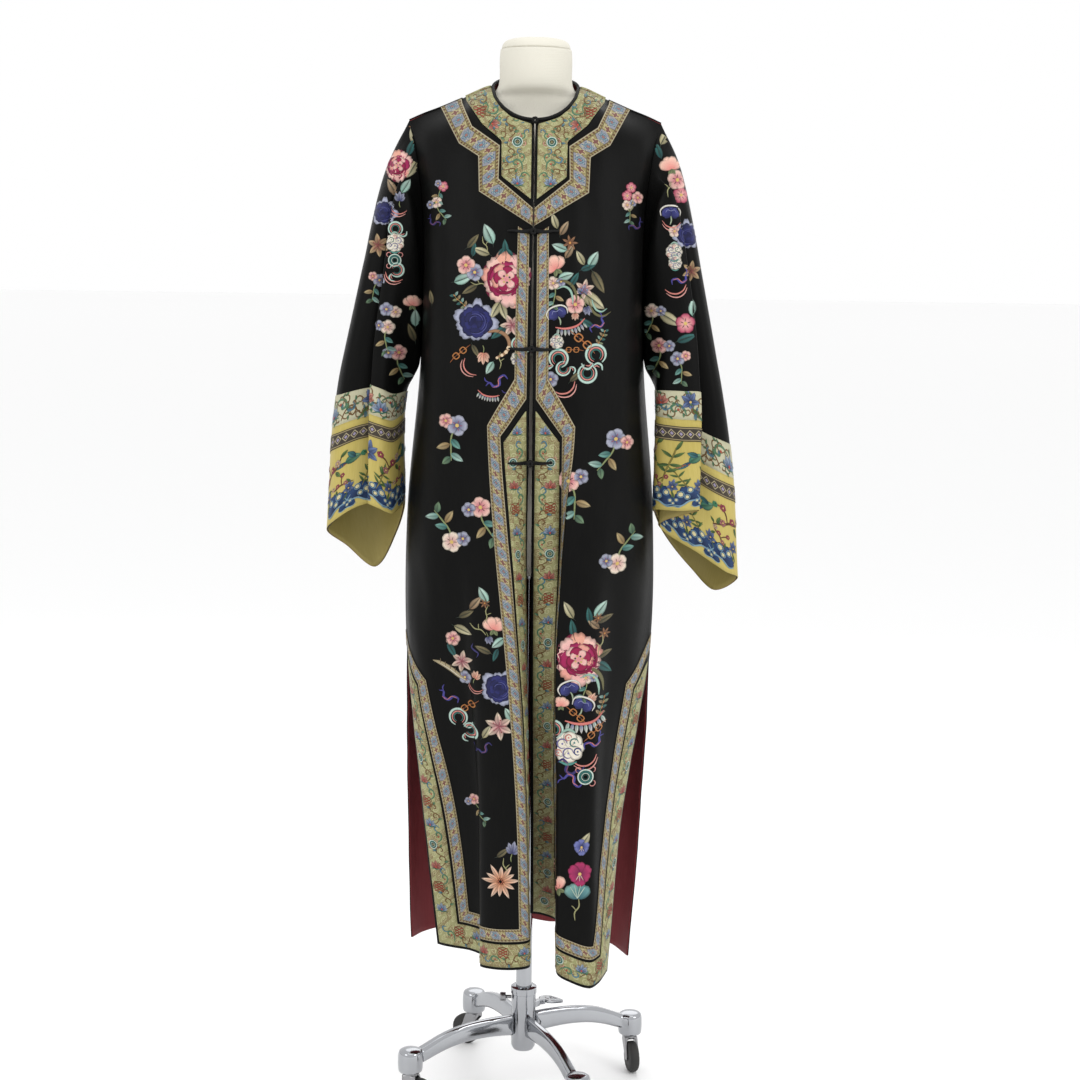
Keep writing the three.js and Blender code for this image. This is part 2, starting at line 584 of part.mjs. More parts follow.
function yokePieces({ tip, outer }) {
  const inner = tip[0];
  const first = [[inner, tip[1]], outer[0], [inner, outer[0][1]]];
  return [first, ...outer.slice(1).map((p, n) => (
    [[inner, outer[n][1]], outer[n], p, [inner, p[1]]]))];
}

Object.entries(SIDES).forEach(([name, side]) => {
  [['front', FRONT_YOKE, FRONT_YOKE_RIBBON], ['back', BACK_YOKE, BACK_YOKE_RIBBON]]
    .forEach(([face, yoke, band]) => {
      const panel = cloth[`${face}_${name}`];
      const upper = ARMPIT_ROW + 2;
      const part = { grid: panel.grid.slice(upper), normals: panel.normals.slice(upper) };
      const seen = part.grid.map((row) => row.map((p) => [side * p.x, p.z]));
      add(garment, `yoke_${face}_${name}`, laidTrim(part, seen, yokePieces(yoke)), brocade());
      add(garment, `yoke_ribbon_${face}_${name}`,
        laidTrim(part, seen, strip(band.out, band.low)), ribbon());
    });
});

// ---------- cuffs ----------
function cuffBand(piece, from, to, inner, outer) {
  const first = SLEEVE_ROWS.indexOf(from);
  const last = SLEEVE_ROWS.indexOf(to);
  const grid = piece.grid.slice(first, last + 1).map((row) => row.map((p) => p.clone()));
  const normals = piece.normals.slice(first, last + 1);
  const end = grid.length - 1;
  grid[0].forEach((p, i) => towards(p, piece.grid[first + 1][i]));
  grid[end].forEach((p, i) => towards(p, piece.grid[last - 1][i]));
  return wall(grid, normals, inner, outer, true);
}

Object.keys(SIDES).forEach((name) => {
  const sleeve = cloth[`sleeve_${name}`];
  const over = LIFT + TRIM;
  const inside = -CLOTH - LIFT;
  add(garment, `cuff_floral_${name}`,
    cuffBand(sleeve, BANDS.top, BANDS.floralEnd, LIFT, over), cuffFloral());
  add(garment, `cuff_satin_${name}`,
    cuffBand(sleeve, BANDS.floralEnd, BANDS.edge, LIFT, over), cuffSatin());
  add(garment, `cuff_ribbon_${name}`,
    cuffBand(sleeve, BANDS.ribbonTop, BANDS.ribbonEnd, over + LIFT, over + LIFT + 0.6), cuffRibbon());
  add(garment, `cuff_facing_${name}`,
    cuffBand(sleeve, BANDS.facingTop, BANDS.edge, inside - TRIM, inside), facing());
});

// ---------- neck binding and knotted frogs ----------
function rod(points, radius, sides) {
  const vertices = [];
  const faces = [];
  const up = new THREE.Vector3(0, 0, 1);
  points.forEach((p, n) => {
    const ahead = points[Math.min(n + 1, points.length - 1)];
    const behind = points[Math.max(n - 1, 0)];
    const run = new THREE.Vector3().subVectors(ahead, behind).normalize();
    const across = new THREE.Vector3().crossVectors(run, up).normalize();
    const rise = new THREE.Vector3().crossVectors(across, run);
    for (let k = 0; k < sides; k += 1) {
      const turn = (2 * Math.PI * k) / sides;
      vertices.push(p.clone().addScaledVector(across, radius * Math.cos(turn))
        .addScaledVector(rise, radius * Math.sin(turn)));
    }
  });
  for (let n = 0; n < points.length - 1; n += 1) {
    for (let k = 0; k < sides; k += 1) {
      const next = (k + 1) % sides;
      const [a, b] = [n * sides + k, n * sides + next];
      faces.push([a, b, b + sides], [a, b + sides, a + sides]);
    }
  }
  const last = (points.length - 1) * sides;
  for (let k = 1; k < sides - 1; k += 1) {
    faces.push([0, k + 1, k], [last, last + k, last + k + 1]);
  }
  return bodyOf(vertices, faces);
}

const BINDING_R = 2.2;
const NECK_POINT_RISE = 1.6;  // the binding rides higher where neck meets shoulder

function neckEdge(name) {
  const front = cloth[`front_${name}`];
  const back = cloth[`back_${name}`];
  const neckColumns = FRONT_ACROSS.filter((u) => u <= NECK_POINT).length;
  const above = ({ grid, normals }, i) => {
    const row = grid.at(-1);
    const along = new THREE.Vector3()
      .subVectors(row[Math.min(i + 1, row.length - 1)], row[Math.max(i - 1, 0)]);
    const rise = new THREE.Vector3().crossVectors(along, normals.at(-1)[i]).normalize();
    if (rise.dot(new THREE.Vector3().subVectors(row[i], grid.at(-2)[i])) < 0) rise.negate();
    return row[i].clone().addScaledVector(rise, BINDING_R + 0.9);
  };
  const frontPart = [...Array(neckColumns).keys()].map((i) => above(front, i));
  const backPart = [...Array(BACK_NECK).keys()].map((i) => above(back, SHOULDER.length + i));
  frontPart.at(-1).z += NECK_POINT_RISE;
  backPart[0].z += NECK_POINT_RISE;
  return [...frontPart, ...backPart];
}

const rightNeck = neckEdge('right');
const leftNeck = neckEdge('left').reverse();
leftNeck[0].lerp(rightNeck.at(-1), 0.5);
add(garment, 'neck_binding', rod([...rightNeck, ...leftNeck.slice(1)], BINDING_R, 6), cord());

// Knotted frogs: a ball knot on the opening and a straight cord to each side.
const FROGS = [
  { name: 'frog_chest', z: 1348, reach: 38 },
  { name: 'frog_waist', z: 1179, reach: 34 },
  { name: 'frog_hip', z: 1013, reach: 33 },
];
const FROG_CORD_R = 2;
const KNOT_R = 5;

function surfaceFront(name, x, z) {
  // the cloth's foremost point over a place seen from the front
  const ray = new THREE.Raycaster(new THREE.Vector3(x, -600, z), new THREE.Vector3(0, 1, 0));
  const seen = ray.intersectObjects(garment.children.filter((m) => m.name.endsWith(name)));
  return seen.length ? seen[0].point.y : -140;
}

garment.updateMatrixWorld(true);
FROGS.forEach(({ name, z, reach }) => {
  const xs = [-reach, -28, -18, -9, 0, 9, 18, 28, reach];
  const points = xs.map((x) => {
    const side = x < 0 ? 'right' : 'left';
    const ys = [-2.5, 0, 2.5].map((dz) => surfaceFront(side, x || 2, z + dz));
    return new THREE.Vector3(x, Math.min(...ys) - FROG_CORD_R - 0.9, z);
  });
  const middle = (points.length - 1) / 2;
  points[middle].y = Math.min(points[middle - 1].y, points[middle + 1].y);
  const knot = new THREE.SphereGeometry(KNOT_R, 8, 6);
  knot.translate(0, points[middle].y - KNOT_R + FROG_CORD_R, z);
  add(garment, name, joined([rod(points, FROG_CORD_R, 5), knot]), cord());
});
const neckKnot = new THREE.SphereGeometry(KNOT_R, 8, 6);
neckKnot.translate(0, rightNeck[0].y - BINDING_R - KNOT_R - 0.4, rightNeck[0].z - 1);
add(garment, 'frog_neck', joined([neckKnot]), cord());

// ---------- the dress form ----------
// Level, half width, front depth, back depth of each section.
const FORM_SECTIONS = [
  [838, 140, 82, 94], [852, 150, 90, 104], [890, 158, 97, 110], [930, 160, 103, 113],
  [1000, 152, 103, 106], [1060, 136, 100, 94], [1110, 130, 99, 90], [1200, 143, 108, 93],
  [1290, 154, 118, 97], [1380, 158, 102, 92], [1430, 162, 87, 80], [1470, 164, 71, 66],
  [1498, 162, 54, 50], [1520, 148, 40, 42], [1538, 108, 34, 42], [1549, 69, 32, 44],
  [1562, 56, 50, 53], [1602, 54, 54, 54], [1616, 53, 53, 53],
];
const FORM_SIDES = 24;

function formBody() {
  const vertices = [];
  const faces = [];
  FORM_SECTIONS.forEach(([z, half, frontDepth, backDepth]) => {
    for (let k = 0; k < FORM_SIDES; k += 1) {
      const turn = (2 * Math.PI * k) / FORM_SIDES;
      const depth = Math.sin(turn) < 0 ? frontDepth : backDepth;
      vertices.push(new THREE.Vector3(half * Math.cos(turn), depth * Math.sin(turn), z));
    }
  });
  const rings = FORM_SECTIONS.length;
  for (let n = 0; n < rings - 1; n += 1) {
    for (let k = 0; k < FORM_SIDES; k += 1) {
      const next = (k + 1) % FORM_SIDES;
      const [a, b] = [n * FORM_SIDES + k, n * FORM_SIDES + next];
      faces.push([a, b, b + FORM_SIDES], [a, b + FORM_SIDES, a + FORM_SIDES]);
    }
  }
  const last = (rings - 1) * FORM_SIDES;
  for (let k = 1; k < FORM_SIDES - 1; k += 1) {
    faces.push([0, k + 1, k], [last, last + k, last + k + 1]);
  }
  return bodyOf(vertices, faces);
}

const lathe = (profile, segments, start = 0) => {
  const points = profile.map(([r, z]) => new THREE.Vector2(r, z));
  const geometry = new THREE.LatheGeometry(points, segments, start);
  geometry.rotateX(Math.PI / 2);
  return fromManifold(toManifold(geometry));
};

add(stand, 'torso', formBody(), linen());
add(stand, 'neck_cap', lathe([[0, 1616.4], [52, 1616.4], [51, 1624], [45, 1630], [30, 1633],
  [0, 1634]], 24), linen());

// ---------- pole, hub and legs ----------
const FLANGE_R = 42;
add(stand, 'pole', lathe([[0, 72], [POLE_R - 1, 72], [POLE_R, 73], [POLE_R, 828], [FLANGE_R, 828],
  [FLANGE_R, FORM_BOTTOM - 0.4], [0, FORM_BOTTOM - 0.4]], POLE_SIDES), chrome());

const PEDAL = { direction: THREE.MathUtils.degToRad(50), pivot: 24.5, z: 134, tilt: 0.2 };
const PIN_R = 2.5;
const BORE_R = 2.6;
const PIVOT_HALF = 6;         // half length of the pedal's pivot
const EAR = { gap: 0.4, thick: 3, from: HUB_R - 1.5, to: PEDAL.pivot + 4.5, height: 9 };

function pedalEars() {
  const reach = EAR.to - EAR.from;
  const pieces = [-1, 1].map((side) => {
    const ear = new THREE.BoxGeometry(reach, EAR.thick, EAR.height);
    ear.translate(EAR.from + reach / 2, side * (PIVOT_HALF + EAR.gap + EAR.thick / 2), 0);
    return ear;
  });
  const pin = new THREE.CylinderGeometry(PIN_R, PIN_R, 2 * (PIVOT_HALF + EAR.gap + 1), 16);
  pin.translate(PEDAL.pivot, 0, 0);
  return [...pieces, pin].map((piece) => {
    piece.rotateZ(PEDAL.direction);
    piece.translate(0, 0, PEDAL.z);
    return piece;
  });
}

const hubTube = lathe([[HUB_BORE_R, HUB_BOTTOM], [HUB_R - 3, HUB_BOTTOM], [HUB_R, HUB_BOTTOM + 6],
  [HUB_R, HUB_TOP - 12], [HUB_R + 1.6, HUB_TOP - 11], [HUB_R + 1.6, HUB_TOP - 1],
  [HUB_R, HUB_TOP], [HUB_BORE_R, HUB_TOP], [HUB_BORE_R, HUB_BOTTOM]], POLE_SIDES);
add(stand, 'hub', joined([hubTube, ...pedalEars()]), chrome());

// Middle line and section of a leg: distance out, level, half width, half depth.
const LEG_SECTIONS = [
  [HUB_R + 0.5, 107, 7, 16], [34, 108, 7, 15], [60, 109, 7, 14], [90, 108, 7, 13.5],
  [120, 104, 7.5, 13], [146, 96, 8, 12.5], [166, 87, 8, 12], [CASTER_RING - 8, 80, 8, 11],
];
const LEG_CORNERS = [[1, 0.55], [0.6, 1], [-0.6, 1], [-1, 0.55], [-1, -0.75], [-0.7, -1],
  [0.7, -1], [1, -0.75]];

function legArm(direction) {
  const out = new THREE.Vector3(Math.cos(direction), Math.sin(direction), 0);
  const across = new THREE.Vector3(-out.y, out.x, 0);
  const vertices = LEG_SECTIONS.flatMap(([r, z, half, deep]) => LEG_CORNERS.map(([u, v]) => (
    new THREE.Vector3(0, 0, z + v * deep).addScaledVector(out, r).addScaledVector(across, u * half))));
  const sides = LEG_CORNERS.length;
  const faces = [];
  for (let n = 0; n < LEG_SECTIONS.length - 1; n += 1) {
    for (let k = 0; k < sides; k += 1) {
      const [a, b] = [n * sides + k, n * sides + ((k + 1) % sides)];
      faces.push([a, b, b + sides], [a, b + sides, a + sides]);
    }
  }
  const last = (LEG_SECTIONS.length - 1) * sides;
  for (let k = 1; k < sides - 1; k += 1) {
    faces.push([0, k + 1, k], [last, last + k, last + k + 1]);
  }
  return bodyOf(vertices, faces);
}

const LEGS = [
  { name: 'front_right', direction: Math.PI + STAND_TURN, caster: -0.35 },
  { name: 'front_left', direction: -Math.PI / 2 + STAND_TURN, caster: 0.9 },
  { name: 'back_left', direction: STAND_TURN, caster: -1.35 },
  { name: 'back_right', direction: Math.PI / 2 + STAND_TURN, caster: 2.6 },
];

function casterFork(angle) {
  const stem = lathe([[0, 52.5], [11, 52.5], [11, 57], [8, 58], [8, SOCKET_BOTTOM - 0.4],
    [0, SOCKET_BOTTOM - 0.4]], 12);
  const outline = new THREE.Shape();
  outline.moveTo(-10, 55);
  outline.lineTo(10, 55);
  outline.lineTo(CASTER_TRAIL + 6, WHEEL_R + 2);
  outline.lineTo(CASTER_TRAIL + 4, WHEEL_R - 5);
  outline.lineTo(CASTER_TRAIL - 4, WHEEL_R - 5);
  outline.lineTo(CASTER_TRAIL - 7, WHEEL_R + 2);
  outline.lineTo(-10, 48);
  const gap = WHEEL_W / 2 + 0.5;
  const cheek = (y) => {
    const plate = new THREE.ExtrudeGeometry(outline, { depth: 2.5, bevelEnabled: false });
    plate.rotateX(Math.PI / 2);
    plate.translate(0, y + 2.5, 0);
    return plate;
  };
  const bridge = new THREE.BoxGeometry(20, 2 * gap + 5, 4);
  bridge.translate(0, 0, 53.5);
  const axle = new THREE.CylinderGeometry(3.2, 3.2, 2 * gap + 5, 8);
  axle.translate(CASTER_TRAIL, 0, 0);
  axle.translate(0, 0, WHEEL_R);
  const fork = joined([stem, cheek(gap), cheek(-gap - 2.5), bridge, axle]);
  fork.rotateZ(angle);
  return fork;
}

function casterWheel(angle) {
  const half = WHEEL_W / 2;
  const flatR = WHEEL_R / Math.cos(Math.PI / WHEEL_SIDES);
  const tyre = lathe([[3.6, -half], [8, -half], [flatR - 3, -half], [flatR, -half + 3.5],
    [flatR, half - 3.5], [flatR - 3, half], [8, half], [3.6, half], [3.6, -half]],
  WHEEL_SIDES, Math.PI / WHEEL_SIDES);
  tyre.rotateX(Math.PI / 2);
  tyre.translate(CASTER_TRAIL, 0, WHEEL_R);
  tyre.rotateZ(angle);
  return tyre;
}

LEGS.forEach(({ name, direction, caster }) => {
  const x = CASTER_RING * Math.cos(direction);
  const y = CASTER_RING * Math.sin(direction);
  const socket = lathe([[0, SOCKET_BOTTOM], [SOCKET_R - 2, SOCKET_BOTTOM], [SOCKET_R, SOCKET_BOTTOM + 3],
    [SOCKET_R, SOCKET_TOP - 6], [SOCKET_R - 3, SOCKET_TOP - 2], [SOCKET_R - 9, SOCKET_TOP],
    [0, SOCKET_TOP + 1]], 16);
  socket.translate(x, y, 0);
  add(stand, `leg_${name}`, joined([legArm(direction), socket]), chrome());
  const fork = add(stand, `fork_${name}`, casterFork(caster), steel());
  fork.position.set(x, y, 0);
  const wheel = add(stand, `wheel_${name}`, casterWheel(caster), rubber());
  wheel.position.set(x, y, 0);
});

// ---------- thumbscrew and foot pedal ----------
const SCREW_Z = 150;
const screw = lathe([[0, 0], [3, 0], [3, 9], [7, 9], [7.5, 10.5], [7.5, 17], [6, 18.5], [0, 18.5]], 12);
screw.rotateY(-Math.PI / 2);
screw.translate(-HUB_R - 0.4, 0, SCREW_Z);
add(stand, 'thumbscrew', screw, steel());

function footPedal() {
  const plate = new THREE.Shape();
  plate.moveTo(23, -9);
  plate.lineTo(30, -15);
  plate.lineTo(54, -18);
  plate.quadraticCurveTo(64, 0, 54, 18);
  plate.lineTo(30, 15);
  plate.lineTo(23, 9);
  const tread = new THREE.ExtrudeGeometry(plate, { depth: 5, bevelEnabled: false, curveSegments: 6 });
  tread.translate(0, 0, -1);
  const arm = new THREE.BoxGeometry(26, 9, 8);
  arm.translate(13, 0, 0);
  const pivot = new THREE.CylinderGeometry(4.6, 4.6, 2 * PIVOT_HALF, 16);
  const bore = new THREE.CylinderGeometry(BORE_R, BORE_R, 20, 16);
  const slots = [0, 1, 2, 3].map((n) => {
    const slot = new THREE.BoxGeometry(2.6, 24, 12);
    slot.translate(32.5 + n * 6, 0, 0);
    return toManifold(slot);
  });
  const whole = [...slots, toManifold(bore)].reduce((rest, hole) => rest.subtract(hole),
    toManifold(joined([tread, arm, pivot])));
  const pedal = fromManifold(whole);
  pedal.rotateY(PEDAL.tilt);
  pedal.translate(PEDAL.pivot, 0, PEDAL.z);
  pedal.rotateZ(PEDAL.direction);
  return pedal;
}
add(stand, 'pedal', footPedal(), chrome());

const robeOnForm = new THREE.Group();
robeOnForm.add(garment, stand);
robeOnForm.position.set(...CENTRE_SHIFT, 0);

export default robeOnForm;
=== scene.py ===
import json
import math
from functools import partial
import bpy
import bmesh
import numpy as np
from mathutils import Matrix, Vector, noise
from mathutils.bvhtree import BVHTree


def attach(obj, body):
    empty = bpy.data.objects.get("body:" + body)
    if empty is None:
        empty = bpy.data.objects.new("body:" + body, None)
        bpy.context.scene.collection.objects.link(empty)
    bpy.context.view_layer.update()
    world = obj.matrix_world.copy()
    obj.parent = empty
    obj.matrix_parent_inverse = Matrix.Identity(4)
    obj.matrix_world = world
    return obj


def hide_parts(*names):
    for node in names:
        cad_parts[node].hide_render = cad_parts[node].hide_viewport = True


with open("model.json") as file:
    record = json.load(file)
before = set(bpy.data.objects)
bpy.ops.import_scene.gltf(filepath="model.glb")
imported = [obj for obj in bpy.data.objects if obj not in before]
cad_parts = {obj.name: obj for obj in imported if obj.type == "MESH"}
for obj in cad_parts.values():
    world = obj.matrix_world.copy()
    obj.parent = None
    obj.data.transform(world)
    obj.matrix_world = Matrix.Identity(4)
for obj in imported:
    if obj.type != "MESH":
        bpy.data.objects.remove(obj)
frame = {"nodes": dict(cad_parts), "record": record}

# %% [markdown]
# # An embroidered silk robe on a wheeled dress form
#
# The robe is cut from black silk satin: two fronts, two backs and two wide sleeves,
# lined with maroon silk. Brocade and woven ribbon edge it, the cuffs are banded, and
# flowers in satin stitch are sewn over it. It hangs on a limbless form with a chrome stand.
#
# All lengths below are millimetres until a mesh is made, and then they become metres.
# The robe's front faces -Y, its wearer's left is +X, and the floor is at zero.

MM = 0.001
CENTRE_SHIFT = np.array([-4.49, -2.76, 0.0])   # from the pole's axis to the frame's origin
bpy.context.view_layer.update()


def add_object(name, data):
    made = bpy.data.objects.new(name, data)
    bpy.context.scene.collection.objects.link(made)
    return made


# %% [markdown]
# ## Camera and light
# The camera stands three metres in front of the robe at chest height and looks a little
# down. Four large soft lamps and a white surround light the black silk from all sides.

# %% Camera
FRAME_WIDTH = 1080
FOCAL_PIXELS = 1970
SENSOR = 36
CAMERA_PLACE = (0.01131, -3.00276, 1.290)
CAMERA_TILT = 82.25    # degrees from straight down
CAMERA_ROLL = 0.8
camera_data = bpy.data.cameras.new("camera")
camera_data.sensor_width = SENSOR
camera_data.lens = SENSOR * FOCAL_PIXELS / FRAME_WIDTH
camera = add_object("camera", camera_data)
camera.matrix_world = (Matrix.Translation(CAMERA_PLACE)
                       @ Matrix.Rotation(math.radians(CAMERA_TILT), 4, "X")
                       @ Matrix.Rotation(math.radians(CAMERA_ROLL), 4, "Z"))
bpy.context.scene.camera = camera
bpy.context.scene.view_settings.view_transform = "Standard"

# %% Lamps and surround
def soft_lamp(name, place, size, power, target=(0, 0, 0.85)):
    data = bpy.data.lights.new(name, "AREA")
    data.shape = "DISK"
    data.size = size
    data.energy = power
    lamp = add_object(name, data)
    lamp.location = place
    lamp.rotation_euler = (Vector(target) - Vector(place)).to_track_quat("-Z", "Y").to_euler()


soft_lamp("lamp_left", (-2.6, -2.6, 2.6), 1.6, 24)
soft_lamp("lamp_right", (2.8, -2.2, 2.2), 1.6, 28)
soft_lamp("lamp_above", (0.2, -0.4, 3.6), 2.4, 16)
soft_lamp("lamp_behind", (0.3, 2.8, 2.4), 2.4, 14)

world = bpy.data.worlds.new("studio")
world.use_nodes = True
surround = world.node_tree.nodes["Background"]
surround.inputs["Color"].default_value = (1.0, 1.0, 1.0, 1)
surround.inputs["Strength"].default_value = 1.0
bpy.context.scene.world = world

# %% [markdown]
# ## Node helpers
# `Number` lets a shader value be worked out with plain sums, so that a woven pattern reads
# like the arithmetic that a weaver's chart would be.

# %% Shader arithmetic
class Number:
    def __init__(self, tree, socket):
        self.tree = tree
        self.socket = socket

    def math(self, operation, *others, clamp=False):
        node = self.tree.nodes.new("ShaderNodeMath")
        node.operation = operation
        node.use_clamp = clamp
        for slot, value in zip(node.inputs, (self, *others)):
            if isinstance(value, Number):
                self.tree.links.new(value.socket, slot)
            else:
                slot.default_value = value
        return Number(self.tree, node.outputs[0])

    def __add__(self, other):
        return self.math("ADD", other)

    def __sub__(self, other):
        return self.math("SUBTRACT", other)

    def __mul__(self, other):
        return self.math("MULTIPLY", other)

    def __truediv__(self, other):
        return self.math("DIVIDE", other)

    def mod(self, other):
        return self.math("FLOORED_MODULO", other)

    def abs(self):
        return self.math("ABSOLUTE")

    def sin(self):
        return self.math("SINE")

    def floor(self):
        return self.math("FLOOR")

    def clamp(self):
        return self.math("ADD", 0.0, clamp=True)

    def most(self, other):
        return self.math("MAXIMUM", other)

    def below(self, edge, soft=0.25):
        """1 where the value is under the edge and 0 over it, with a soft step."""
        return ((self - edge) / -soft + 0.5).clamp()

    def near(self, place, reach):
        """1 where the value is within reach of the place, for a line or a ring."""
        return (self - place).abs().below(reach)


def hypot(x, y):
    return (x * x + y * y).math("SQRT")


class Shader:
    """One material, with its Principled node and short ways to add others."""

    def __init__(self, name, roughness=0.6, metallic=0.0, sheen=0.0):
        self.material = bpy.data.materials.new(name)
        self.material.use_nodes = True
        self.tree = self.material.node_tree
        self.main = self.tree.nodes["Principled BSDF"]
        self.main.inputs["Roughness"].default_value = roughness
        self.main.inputs["Metallic"].default_value = metallic
        self.main.inputs["Sheen Weight"].default_value = sheen

    def node(self, kind, **inputs):
        made = self.tree.nodes.new(kind)
        for name, value in inputs.items():
            self.fill(made.inputs[name], value)
        return made

    def fill(self, slot, value):
        """Links a socket to a slot, or sets a plain value there."""
        value = value.socket if isinstance(value, Number) else value
        if isinstance(value, bpy.types.NodeSocket):
            self.tree.links.new(value, slot)
        else:
            slot.default_value = value

    def group(self, tree, **inputs):
        made = self.tree.nodes.new("ShaderNodeGroup")
        made.node_tree = tree
        for name, value in inputs.items():
            self.fill(made.inputs[name], value)
        return made

    def number(self, node, output=0):
        return Number(self.tree, node.outputs[output])

    def worn(self):
        """The slow patches of wear, from 0 to 1."""
        return self.number(self.group(wear_tree), "Mask")

    def noise(self, scale, detail):
        """Fine noise that keeps its place on the object, from 0 to 1."""
        place = self.node("ShaderNodeTexCoord")
        return self.number(self.node("ShaderNodeTexNoise", Vector=place.outputs["Object"],
                                     Scale=scale, Detail=detail))

    def flat(self):
        """Where a point lies on the flat cloth: along and across, in millimetres."""
        uv = self.node("ShaderNodeUVMap")
        uv.uv_map = "flat"
        parts = self.node("ShaderNodeSeparateXYZ", Vector=uv.outputs[0])
        return uv.outputs[0], self.number(parts, 0), self.number(parts, 1)

    def paint(self, ground, *layers):
        """Lays colours over a ground, each through its mask."""
        colour = ground
        for mask, shade in layers:
            mix = self.tree.nodes.new("ShaderNodeMix")
            mix.data_type = "RGBA"
            self.fill(mix.inputs[0], mask)
            for slot, value in ((mix.inputs[6], colour), (mix.inputs[7], shade)):
                self.fill(slot, (*value, 1) if isinstance(value, tuple) else value)
            colour = mix.outputs[2]
        return colour

    def finish(self, colour, height, distance=0.0002, roughness=None):
        self.fill(self.main.inputs["Base Color"], colour)
        if roughness is not None:
            self.fill(self.main.inputs["Roughness"], roughness)
        bump = self.node("ShaderNodeBump", Strength=1.0, Distance=distance, Height=height)
        self.fill(self.main.inputs["Normal"], bump.outputs[0])
        return self.material


def shade(code):
    """A colour from its hex code, as linear light."""
    parts = [int(code[k:k + 2], 16) / 255 for k in (0, 2, 4)]
    return tuple(p / 12.92 if p <= 0.04045 else ((p + 0.055) / 1.055) ** 2.4 for p in parts)

# %% [markdown]
# ## The cut and its folds
# Each panel hangs in folds. One row below is one fold line, from the middle of the robe
# to its side, and it holds the place of that line at the hem, knee, slit top, hip,
# armpit, chest, yoke and top. Distances out from the middle are positive on both sides.
# The sleeves' rows run round the arm: shoulder fold, front, underarm, back.

# %% Fold lines of the panels and sleeves
LEVELS = [470, 720, 930, 1160, 1380]
FRONT_RIGHT_FOLDS = [
    [-1, -96, 256, -1, -98, 2, -100, 3, -116, 2, -139, 1, -117, 1, -93, 1463, 1, -72, 1508],
    [-8, -118, 252, -4, -126, 5, -122, 14, -131, 20, -141, 20, -118, 19, -93, 1465, 18, -71, 1510],
    [-8, -140, 249, 2, -148, 20, -148, 32, -147, 42, -141, 40, -117, 38, -90, 1473, 35, -66, 1517],
    [30, -150, 248, 34, -152, 48, -149, 58, -143, 62, -137, 60, -113, 56, -85, 1484, 51, -54, 1530],
    [66, -132, 247, 68, -132, 78, -134, 84, -132, 82, -132, 80, -107, 74, -77, 1500, 62, -31, 1547],
    [57, -100, 249, 68, -102, 93, -116, 106, -122, 106, -123, 104, -99, 92, -68, 1516, 67, 0, 1562],
    [84, -72, 251, 98, -80, 122, -104, 132, -110, 130, -111, 128, -88, 116, -62, 1502, 104, 1, 1547],
    [110, -62, 252, 128, -70, 152, -87, 156, -88, 148, -90, 148, -70, 140, -55, 1487, 142, 2, 1531],
    [126, -58, 253, 150, -60, 176, -56, 178, -54, 162, -52, 160, -50, 160, -44, 1477, 168, 2, 1521],
    [135, -54, 254, 160, -48, 187, -20, 188, 0, 169, 0, 166, -30, 177, -24, 1468, 188, 2, 1512],
]
FRONT_LEFT_FOLDS = [
    [9, -26, 296, 7, -60, 4, -94, 3, -117, 2, -139, 1, -117, 1, -93, 1463, 1, -72, 1508],
    [29, -24, 292, 21, -62, 19, -100, 24, -122, 22, -141, 20, -118, 19, -93, 1465, 18, -71, 1510],
    [50, -34, 286, 40, -70, 38, -108, 47, -124, 42, -142, 40, -117, 38, -90, 1473, 35, -66, 1517],
    [54, -90, 262, 48, -112, 44, -130, 52, -138, 58, -140, 58, -114, 54, -86, 1484, 49, -56, 1528],
    [50, -148, 242, 48, -150, 42, -151, 54, -148, 72, -136, 78, -107, 74, -77, 1500, 62, -31, 1547],
    [72, -156, 232, 70, -154, 66, -152, 76, -143, 92, -130, 103, -100, 92, -68, 1516, 67, 0, 1562],
    [100, -152, 222, 98, -150, 98, -146, 104, -134, 116, -119, 127, -88, 116, -62, 1502, 104, 1, 1547],
    [113, -136, 224, 116, -124, 122, -114, 130, -112, 138, -102, 147, -70, 140, -55, 1487, 142, 2, 1531],
    [121, -116, 228, 136, -88, 158, -74, 166, -70, 159, -60, 160, -50, 160, -44, 1477, 168, 2, 1521],
    [128, -100, 232, 148, -62, 187, -20, 188, 0, 169, 0, 166, -30, 177, -24, 1468, 188, 2, 1512],
]
BACK_RIGHT_FOLDS = [
    [182, 40, 232, 188, 26, 187, -20, 188, 0, 169, 0, 166, 34, 178, 26, 1468, 188, 2, 1512],
    [168, 66, 232, 173, 60, 176, 40, 178, 48, 160, 46, 158, 60, 160, 48, 1482, 150, 2, 1528],
    [138, 92, 233, 142, 90, 146, 86, 150, 84, 138, 84, 136, 84, 122, 64, 1500, 106, 1, 1546],
    [106, 106, 234, 109, 109, 112, 108, 116, 106, 108, 104, 106, 98, 90, 70, 1516, 67, 0, 1562],
    [74, 134, 235, 76, 130, 78, 126, 80, 124, 76, 118, 74, 109, 66, 80, 1526, 56, 35, 1573],
    [40, 116, 236, 40, 121, 38, 124, 40, 127, 38, 120, 36, 113, 34, 86, 1532, 32, 57, 1577],
    [0, 138, 236, 0, 134, 0, 131, 0, 130, 0, 121, 0, 113, 0, 89, 1534, 0, 65, 1578],
]
